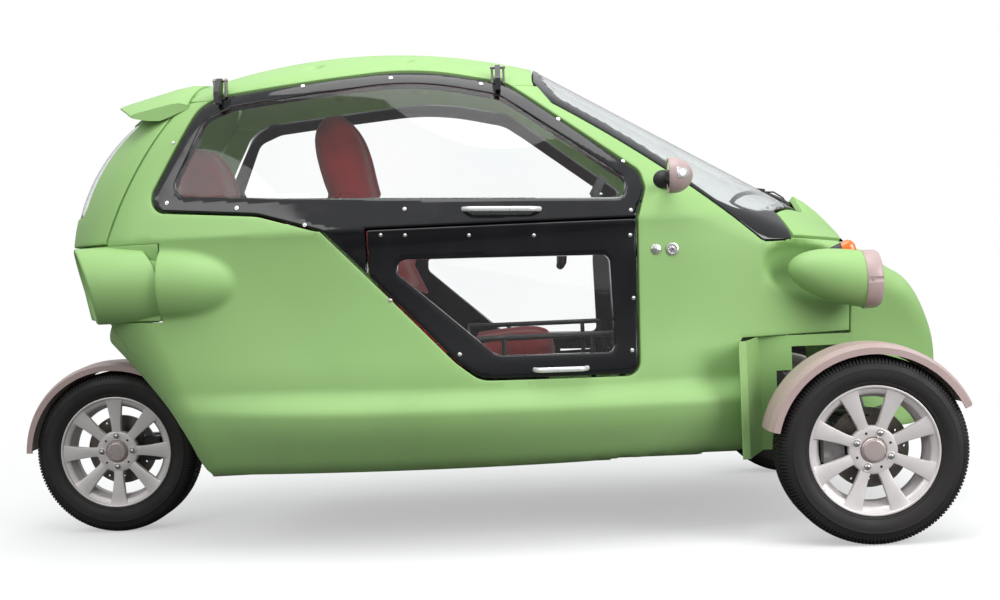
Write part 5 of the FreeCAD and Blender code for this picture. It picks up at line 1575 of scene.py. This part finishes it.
mirror_cup, mirror_glass = mirror_part(CUP_SECTION, 72), mirror_part(GLASS_SECTION, 48)
repeater = closed_sheet(repeater_sheet(REPEATER_LIFT), repeater_sheet(-REPEATER_LIFT),
                        sheet_faces(len(REPEATER_XS), len(REPEATER_TURNS)))
mirror_root = on_flank(body_form, -1, [(0.640, 1.098)])[0]
mirror_arm = swept([mirror_root + (0, 0.020, 0), mirror_root + (-0.010, -0.010, 0.003),
                    (0.612, -0.640, 1.107), (0.618, -0.672, 1.112)],
                   [(size, size) for size in (0.020, 0.017, 0.013, 0.012)], 20)
mirror_ball = outward(turned_along_x([(0.604 + 0.030 * math.sin(a), 0.0285 * math.cos(a))
                                      for a in np.radians(np.linspace(-89, 89, 17))], -0.640, 1.108, 32))
silver_glass = plain_finish("mirror_glass", (0.88, 0.90, 0.90), 0.03, 3.0, 0.03, metallic=1.0)
repeater_clear = plain_finish("repeater_lens", (0.72, 0.72, 0.72), 0.10, 300.0, 0.45,
                              coat_weight=0.8, metallic=0.4)
for piece_name, parts, finish, nodes in (
        ("mirror_cups", mirror_cup, taupe, ("mirrors",)), ("mirror_glasses", mirror_glass, silver_glass, ()),
        ("mirror_repeaters", repeater, repeater_clear, ()),
        ("mirror_arms", together(mirror_arm, mirror_ball), soft_black, ())):
    dressed(piece_name, with_mirror(parts), finish, "root", *nodes)

# ---------------------------------------------------------------- wall of the front wheel opening
# Behind each front wheel the green moulding turns inward along the wheel opening; ahead of it
# the opening is lined with black sheet.
RETURN_PLAN = (
    (0.812, -0.634), (0.836, -0.622), (0.9040, -0.4440), (0.955, -0.4440), (1.005, -0.4440),
    (1.200, -0.4440),
)
RETURN_HEIGHTS = (0.252, 0.500, 0.575, 0.610)
RETURN_THICKNESS = (-0.0010, 0.0030, 0)
OPEN_CELLS = (9, 12, 13)
return_verts = np.array([(x, y, z) for x, y in RETURN_PLAN for z in RETURN_HEIGHTS])
return_cells = sheet_faces(len(RETURN_PLAN), len(RETURN_HEIGHTS))
return_cells = [cell for i, cell in enumerate(return_cells) if i not in OPEN_CELLS]
arch_return = closed_sheet(return_verts, return_verts + RETURN_THICKNESS, return_cells)
dressed("arch_returns", with_mirror(arch_return), green, "root")

# ---------------------------------------------------------------- roof screws
# A black screw head sits at the bottom of each of the roof's four dimples, for a roof bar. Each is
# a turned button that stands upright.
SCREW_SECTION = ((0.0, 0.0), (0.0070, 0.0), (0.0085, -0.0010), (0.0085, -0.006), (0.0, -0.006))


def upright(parts, foot):
    """A piece turned round the axle, stood up on a foot."""
    return parts[0][:, (0, 2, 1)] + foot, [tuple(f)[::-1] for f in parts[1]]


screw = turned_section(SCREW_SECTION, 20)
screw_feet = over_top(roof_form, [spot[:2] for spot in dimple_spots]) + (0, 0, 0.0015)
dressed("roof_screw_holes", together(*(upright(screw, foot) for foot in screw_feet)), soft_black, "root")

# ---------------------------------------------------------------- roof hinges
# Two steel cheeks stand at the roof's edge by each hinge and hold the pin that a door arm turns on.
# They are pressed plates with a rounded eye, dull with zinc.
CHEEK_HALF, CHEEK_SPREAD = 0.0035, 0.018
PIN_RADIUS, PIN_HALF = 0.005, 0.024


def cheek(x):
    """One pressed plate with its eye round the pin."""
    turns = np.radians(np.linspace(200, -20, 15))
    line = [(HINGE_PIN[0] + 0.0095 * math.cos(t), HINGE_PIN[1] + 0.0075 * math.sin(t)) for t in turns]
    line += [(HINGE_PIN[0] + 0.016, 1.452), (HINGE_PIN[0] - 0.016, 1.448)]
    return bar(line, x - CHEEK_HALF, x + CHEEK_HALF)


def pin(x):
    return outward(turned_along_x([(x - PIN_HALF, PIN_RADIUS), (x + PIN_HALF, PIN_RADIUS)], *HINGE_PIN, 20))


roof_hinge = together(*(cheek(x + step) for x in HINGE_XS for step in (-CHEEK_SPREAD, CHEEK_SPREAD)),
                      *map(pin, HINGE_XS))
zinc = plain_finish("zinc_plate", (0.34, 0.33, 0.31), 0.42, 80.0, 0.3, metallic=0.9)
dressed("roof_hinge_cheeks", with_mirror(roof_hinge), zinc, "root", "roof_hinges")

# ---------------------------------------------------------------- seats
# Moulded foam seats in stretched red cloth: rounded bolsters stand up along both edges, a seam
# runs inside each, and the back narrows to a round head part.
SEAT_BACK = (
    # x, z, half thickness, half width
    (-0.165, 0.545, 0.034, 0.186), (-0.178, 0.580, 0.052, 0.204), (-0.205, 0.660, 0.058, 0.214),
    (-0.243, 0.760, 0.060, 0.219), (-0.283, 0.850, 0.059, 0.220), (-0.330, 0.950, 0.058, 0.216),
    (-0.372, 1.040, 0.062, 0.204), (-0.404, 1.115, 0.070, 0.188), (-0.424, 1.180, 0.078, 0.172),
    (-0.438, 1.245, 0.082, 0.158), (-0.452, 1.300, 0.080, 0.146), (-0.466, 1.345, 0.070, 0.130),
    (-0.476, 1.380, 0.052, 0.106), (-0.482, 1.398, 0.034, 0.080), (-0.485, 1.408, 0.012, 0.045),
)
SEAT_CUSHION = (
    (-0.235, 0.552, 0.020, 0.180), (-0.215, 0.553, 0.042, 0.203), (-0.120, 0.558, 0.052, 0.215),
    (-0.020, 0.563, 0.057, 0.219), (0.080, 0.570, 0.062, 0.221), (0.150, 0.574, 0.064, 0.219),
    (0.200, 0.575, 0.062, 0.213), (0.232, 0.573, 0.053, 0.203), (0.250, 0.571, 0.038, 0.188),
    (0.259, 0.570, 0.020, 0.165), (0.262, 0.569, 0.006, 0.140),
)


SEAT_SWELLS = (
    # lift, place and reach across: bolster, hollow between, seam
    (0.020, 0.80, 0.16), (-0.008, 0.0, 0.45), (-0.007, 0.58, 0.025),
)


def stuffed(rows, facing, parts=56, between=4):
    """A cushion from its rows, crowned, with bolsters and seams on the side that it faces."""
    rows = np.array(rows)
    shares = np.arange(len(rows))
    fine = np.linspace(0, len(rows) - 1, (len(rows) - 1) * between + 1)
    rows = np.stack([np.interp(fine, shares, rows[:, k]) for k in range(4)], axis=1)
    for _ in range(2):
        rows[1:-1] = rows[1:-1] * 0.5 + (rows[:-2] + rows[2:]) * 0.25
    ahead = np.gradient(rows[:, :2], axis=0)
    ahead /= np.linalg.norm(ahead, axis=1, keepdims=True)
    front = np.stack([ahead[:, 1], -ahead[:, 0]], axis=1) * facing
    verts = []
    for (x, z, thick, wide), (nx, nz) in zip(rows, front):
        fullness = min(1.0, thick / 0.05)
        for k in range(parts):
            turn = 2 * math.pi * k / parts
            c, s = math.cos(turn), math.sin(turn)
            y = wide * math.copysign(abs(c) ** 0.62, c)
            n = thick * math.copysign(abs(s) ** 0.72, s)
            if s > 0:
                n += fullness * sum(lift * math.exp(-((abs(y) / wide - middle) / reach) ** 2)
                                    for lift, middle, reach in SEAT_SWELLS)
            verts.append((x + nx * n, y, z + nz * n))
    return outward((np.array(verts), ring_faces(len(rows), parts)))


seat_back, seat_cushion = stuffed(SEAT_BACK, 1), stuffed(SEAT_CUSHION, -1)
red_fabric = Finish("red_fabric", (0.30, 0.016, 0.020), roughness=0.82, sheen_weight=0.25)
WEAVE = {"Scale": 345.0, "Distortion": 0.4}
warp, weft = (red_fabric.node("TexWave", {"bands_direction": way}, WEAVE, "Fac") for way in "XZ")
faded = red_fabric.between(red_fabric.noise(9.0, 4.0, 0.6), 0.35, 0.70)
red_fabric.wear(base_color=red_fabric.colours(faded, (0.215, 0.011, 0.015), (0.335, 0.020, 0.024)),
                roughness=0.76 + 0.12 * faded)
red_fabric = red_fabric.bumped(warp * weft + red_fabric.noise(22.0, 3.0) * 2.5, 0.0008, 0.6).material
REAR_CUSHION_X, REAR_CUSHION_SHARE = -0.2, 0.88
for seat_name, shift, lift, share in (("front_seat", 0.0, 0.0, 1.0), ("rear_seat", -0.480, -0.090, 0.90)):
    for label, (verts, faces), node in (("back", seat_back, ()), ("cushion", seat_cushion, (seat_name,))):
        verts = verts * (1, share, 1)
        if seat_name == "rear_seat" and label == "cushion":
            verts[:, 0] -= np.maximum(verts[:, 0] - REAR_CUSHION_X, 0) * (1 - REAR_CUSHION_SHARE)
        pad = dressed(f"{seat_name}_{label}", (verts + (shift, 0, lift), faces), red_fabric, "root", *node,
                      sharp=80)

# ---------------------------------------------------------------- wiper
# One black pressed arm and its rubber blade rest low along the foot of the windscreen. A thin
# washer hose loops beside the arm's hub.
WIPER_PLAN = (
    (1.092, -0.012), (1.066, -0.004), (1.030, 0.030), (1.000, 0.090), (0.976, 0.170), (0.950, 0.270),
)
WIPER_SIZES = (
    (0.0095, 0.0080), (0.0085, 0.0070), (0.0070, 0.0055), (0.0055, 0.0045), (0.0045, 0.0040),
    (0.0035, 0.0030),
)
BLADE_PLAN = ((1.010, -0.030), (0.985, 0.080), (0.956, 0.200), (0.918, 0.360))
HOSE_PLAN = ((1.100, -0.012), (1.078, -0.004), (1.050, 0.010), (1.022, 0.036))
HOSE_LIFTS = (0.004, 0.024, 0.026, 0.012)
HUB_SECTION = ((0.0, 0.018), (0.011, 0.016), (0.015, 0.008), (0.016, -0.012), (0.0, -0.012))
wiper_line = over_top(body_form, WIPER_PLAN) + (0, 0, 0.011)
blade_line = over_top(body_form, BLADE_PLAN) + (0, 0, 0.0075)
hose_line = over_top(body_form, HOSE_PLAN) + np.outer(HOSE_LIFTS, (0, 0, 1))
wiper_hub = upright(turned_section(HUB_SECTION, 28), over_top(body_form, WIPER_PLAN[:1])[0])
wiper_mesh = together(
    swept(wiper_line, WIPER_SIZES, 16), swept(blade_line, [(0.0045, 0.0060)] * 4, 12),
    swept(hose_line, [(0.0028, 0.0028)] * 4, 12), wiper_hub)
dressed("wiper_arm", wiper_mesh, soft_black, "root", "wiper")

# ---------------------------------------------------------------- pieces that keep their own shape
# Floor tub, running gear, mudguards and dashboard are plain welded, cast or moulded pieces. Each
# keeps its shape and gets the finish of its material.
for finish, names in (
        (floor_sheet, ("floor_tub",)),
        (black_steel, ("front_suspension", "rear_swing_arm", "side_rails", "battery_pack")),
        (taupe, ("front_fender_right", "front_fender_left", "rear_fender")),
        (disc_iron, ("brake_disc_front_right", "brake_disc_front_left", "brake_disc_rear")),
        (cast_alloy, ("knuckle_right", "knuckle_left", "drive_motor")),
        (dark_plastic, ("arch_liners", "dashboard", "steering_column")),
        (soft_black, ("steering_wheel",))):
    for name in names:
        cad_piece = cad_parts[name]
        cad_piece.data.materials.clear()
        cad_piece.data.materials.append(finish)

# ---------------------------------------------------------------- camera
# It stands beside the right door at the height of a person sitting, nearly level, with a normal lens.
CAMERA_AT = Vector((0.2059, -4.6588, 0.890))
CAMERA_YAW, CAMERA_PITCH, CAMERA_ROLL = -0.0266, -0.0304, -0.0454
CAMERA_LENS, SENSOR_WIDTH = 47.97, 36.0
forward = Vector((math.sin(CAMERA_YAW) * math.cos(CAMERA_PITCH),
                  math.cos(CAMERA_YAW) * math.cos(CAMERA_PITCH), math.sin(CAMERA_PITCH)))
level = Vector((math.cos(CAMERA_YAW), -math.sin(CAMERA_YAW), 0))
above = level.cross(forward)
right_way = level * math.cos(CAMERA_ROLL) + above * math.sin(CAMERA_ROLL)
up_way = above * math.cos(CAMERA_ROLL) - level * math.sin(CAMERA_ROLL)
lens_data = bpy.data.cameras.new("camera")
lens_data.lens, lens_data.sensor_width = CAMERA_LENS, SENSOR_WIDTH
camera = added("camera", lens_data)
turned = Matrix((right_way, up_way, -forward)).transposed()
camera.matrix_world = Matrix.Translation(CAMERA_AT) @ turned.to_4x4()
bpy.context.scene.camera = camera

# ---------------------------------------------------------------- floor and backdrop
# A pale studio floor that fades into an even white backdrop, seen straight or through clear sheet.
# Light that falls on the car meets a darker floor and a sky that dims toward the horizon.
FLOOR_HALF = 14.0
FLOOR_PALE, FLOOR_DIM = (0.80, 0.80, 0.80, 1), (0.16, 0.16, 0.16, 1)
FLOOR_FADE = (1.6, 4.2, 0.45, 1.0)
SKY_FADE = (-0.15, 0.65, 0.22, 1.0)
SKY_TINT, WHITE = (0.96, 0.98, 1.0, 1), (1, 1, 1, 1)


def emptied(owner):
    owner.use_nodes = True
    owner.node_tree.nodes.clear()
    return owner.node_tree


def seen_by_camera(tree):
    """1 for rays from the camera, straight or through clear sheet."""
    rays = wired(tree, "ShaderNodeLightPath")
    return wired(tree, "ShaderNodeMath", {0: rays["Is Camera Ray"], 1: rays["Is Transmission Ray"]},
                 {"operation": "MAXIMUM"})[0]


def faded(tree, value, low, high, low_result, high_result):
    return wired(tree, "ShaderNodeMapRange",
                 {"Value": value, "From Min": low, "From Max": high, "To Min": low_result,
                  "To Max": high_result}, {"interpolation_type": "SMOOTHSTEP"})["Result"]


def mixed(tree, share, first, second):
    return wired(tree, "ShaderNodeMixShader", {0: share, 1: first, 2: second})[0]


def shown(tree, kind, shader):
    tree.links.new(shader, tree.nodes.new(kind).inputs["Surface"])


floor_mesh = bpy.data.meshes.new("studio_floor")
floor_mesh.from_pydata([(x * FLOOR_HALF, y * FLOOR_HALF, 0) for x, y in ((-1, -1), (1, -1), (1, 1), (-1, 1))],
                       [], [(0, 1, 2, 3)])
floor = added("studio_floor", floor_mesh)
floor_finish = bpy.data.materials.new("studio_floor")
tree = emptied(floor_finish)
place = wired(tree, "ShaderNodeTexCoord")["Object"]
spread = wired(tree, "ShaderNodeVectorMath", {0: place}, {"operation": "LENGTH"})["Value"]
pale = wired(tree, "ShaderNodeBsdfDiffuse", {"Color": FLOOR_PALE})[0]
dim = wired(tree, "ShaderNodeBsdfDiffuse", {"Color": FLOOR_DIM})[0]
glow = wired(tree, "ShaderNodeEmission", {"Color": WHITE, "Strength": 1.0})[0]
lit = mixed(tree, faded(tree, spread, *FLOOR_FADE), pale, glow)
shown(tree, "ShaderNodeOutputMaterial", mixed(tree, seen_by_camera(tree), dim, lit))
floor_mesh.materials.append(floor_finish)
bpy.context.scene.view_settings.view_transform = "Standard"

world = bpy.data.worlds.new("studio")
bpy.context.scene.world = world
tree = emptied(world)
heading = wired(tree, "ShaderNodeTexCoord")["Generated"]
rise = faded(tree, wired(tree, "ShaderNodeSeparateXYZ", {0: heading})["Z"], *SKY_FADE)
sky = wired(tree, "ShaderNodeBackground", {"Color": SKY_TINT, "Strength": rise})[0]
white = wired(tree, "ShaderNodeBackground", {"Color": WHITE, "Strength": 1.0})[0]
shown(tree, "ShaderNodeOutputWorld", mixed(tree, seen_by_camera(tree), sky, white))

# ---------------------------------------------------------------- soft boxes
# Three round soft boxes: one overhead, a weak one at the tail and a stronger one off the nose.
SOFT_BOXES = (
    # name, place, what it points at, width in metres, power in watts
    ("overhead", (0.2, -1.2, 4.6), (0, 0, 0.8), 4.0, 140),
    ("key", (-2.8, -4.2, 3.0), (0, 0, 0.7), 2.6, 50),
    ("nose_side", (4.2, -3.4, 2.2), (0.9, 0, 0.7), 2.6, 150),
)
for name, at, aim, size, power in SOFT_BOXES:
    light = bpy.data.lights.new(name, "AREA")
    light.shape, light.size, light.energy = "DISK", size, power
    way = (Vector(aim) - Vector(at)).normalized()
    lamp = added(name, light)
    lamp.matrix_world = Matrix.Translation(at) @ way.to_track_quat("-Z", "Y").to_matrix().to_4x4()
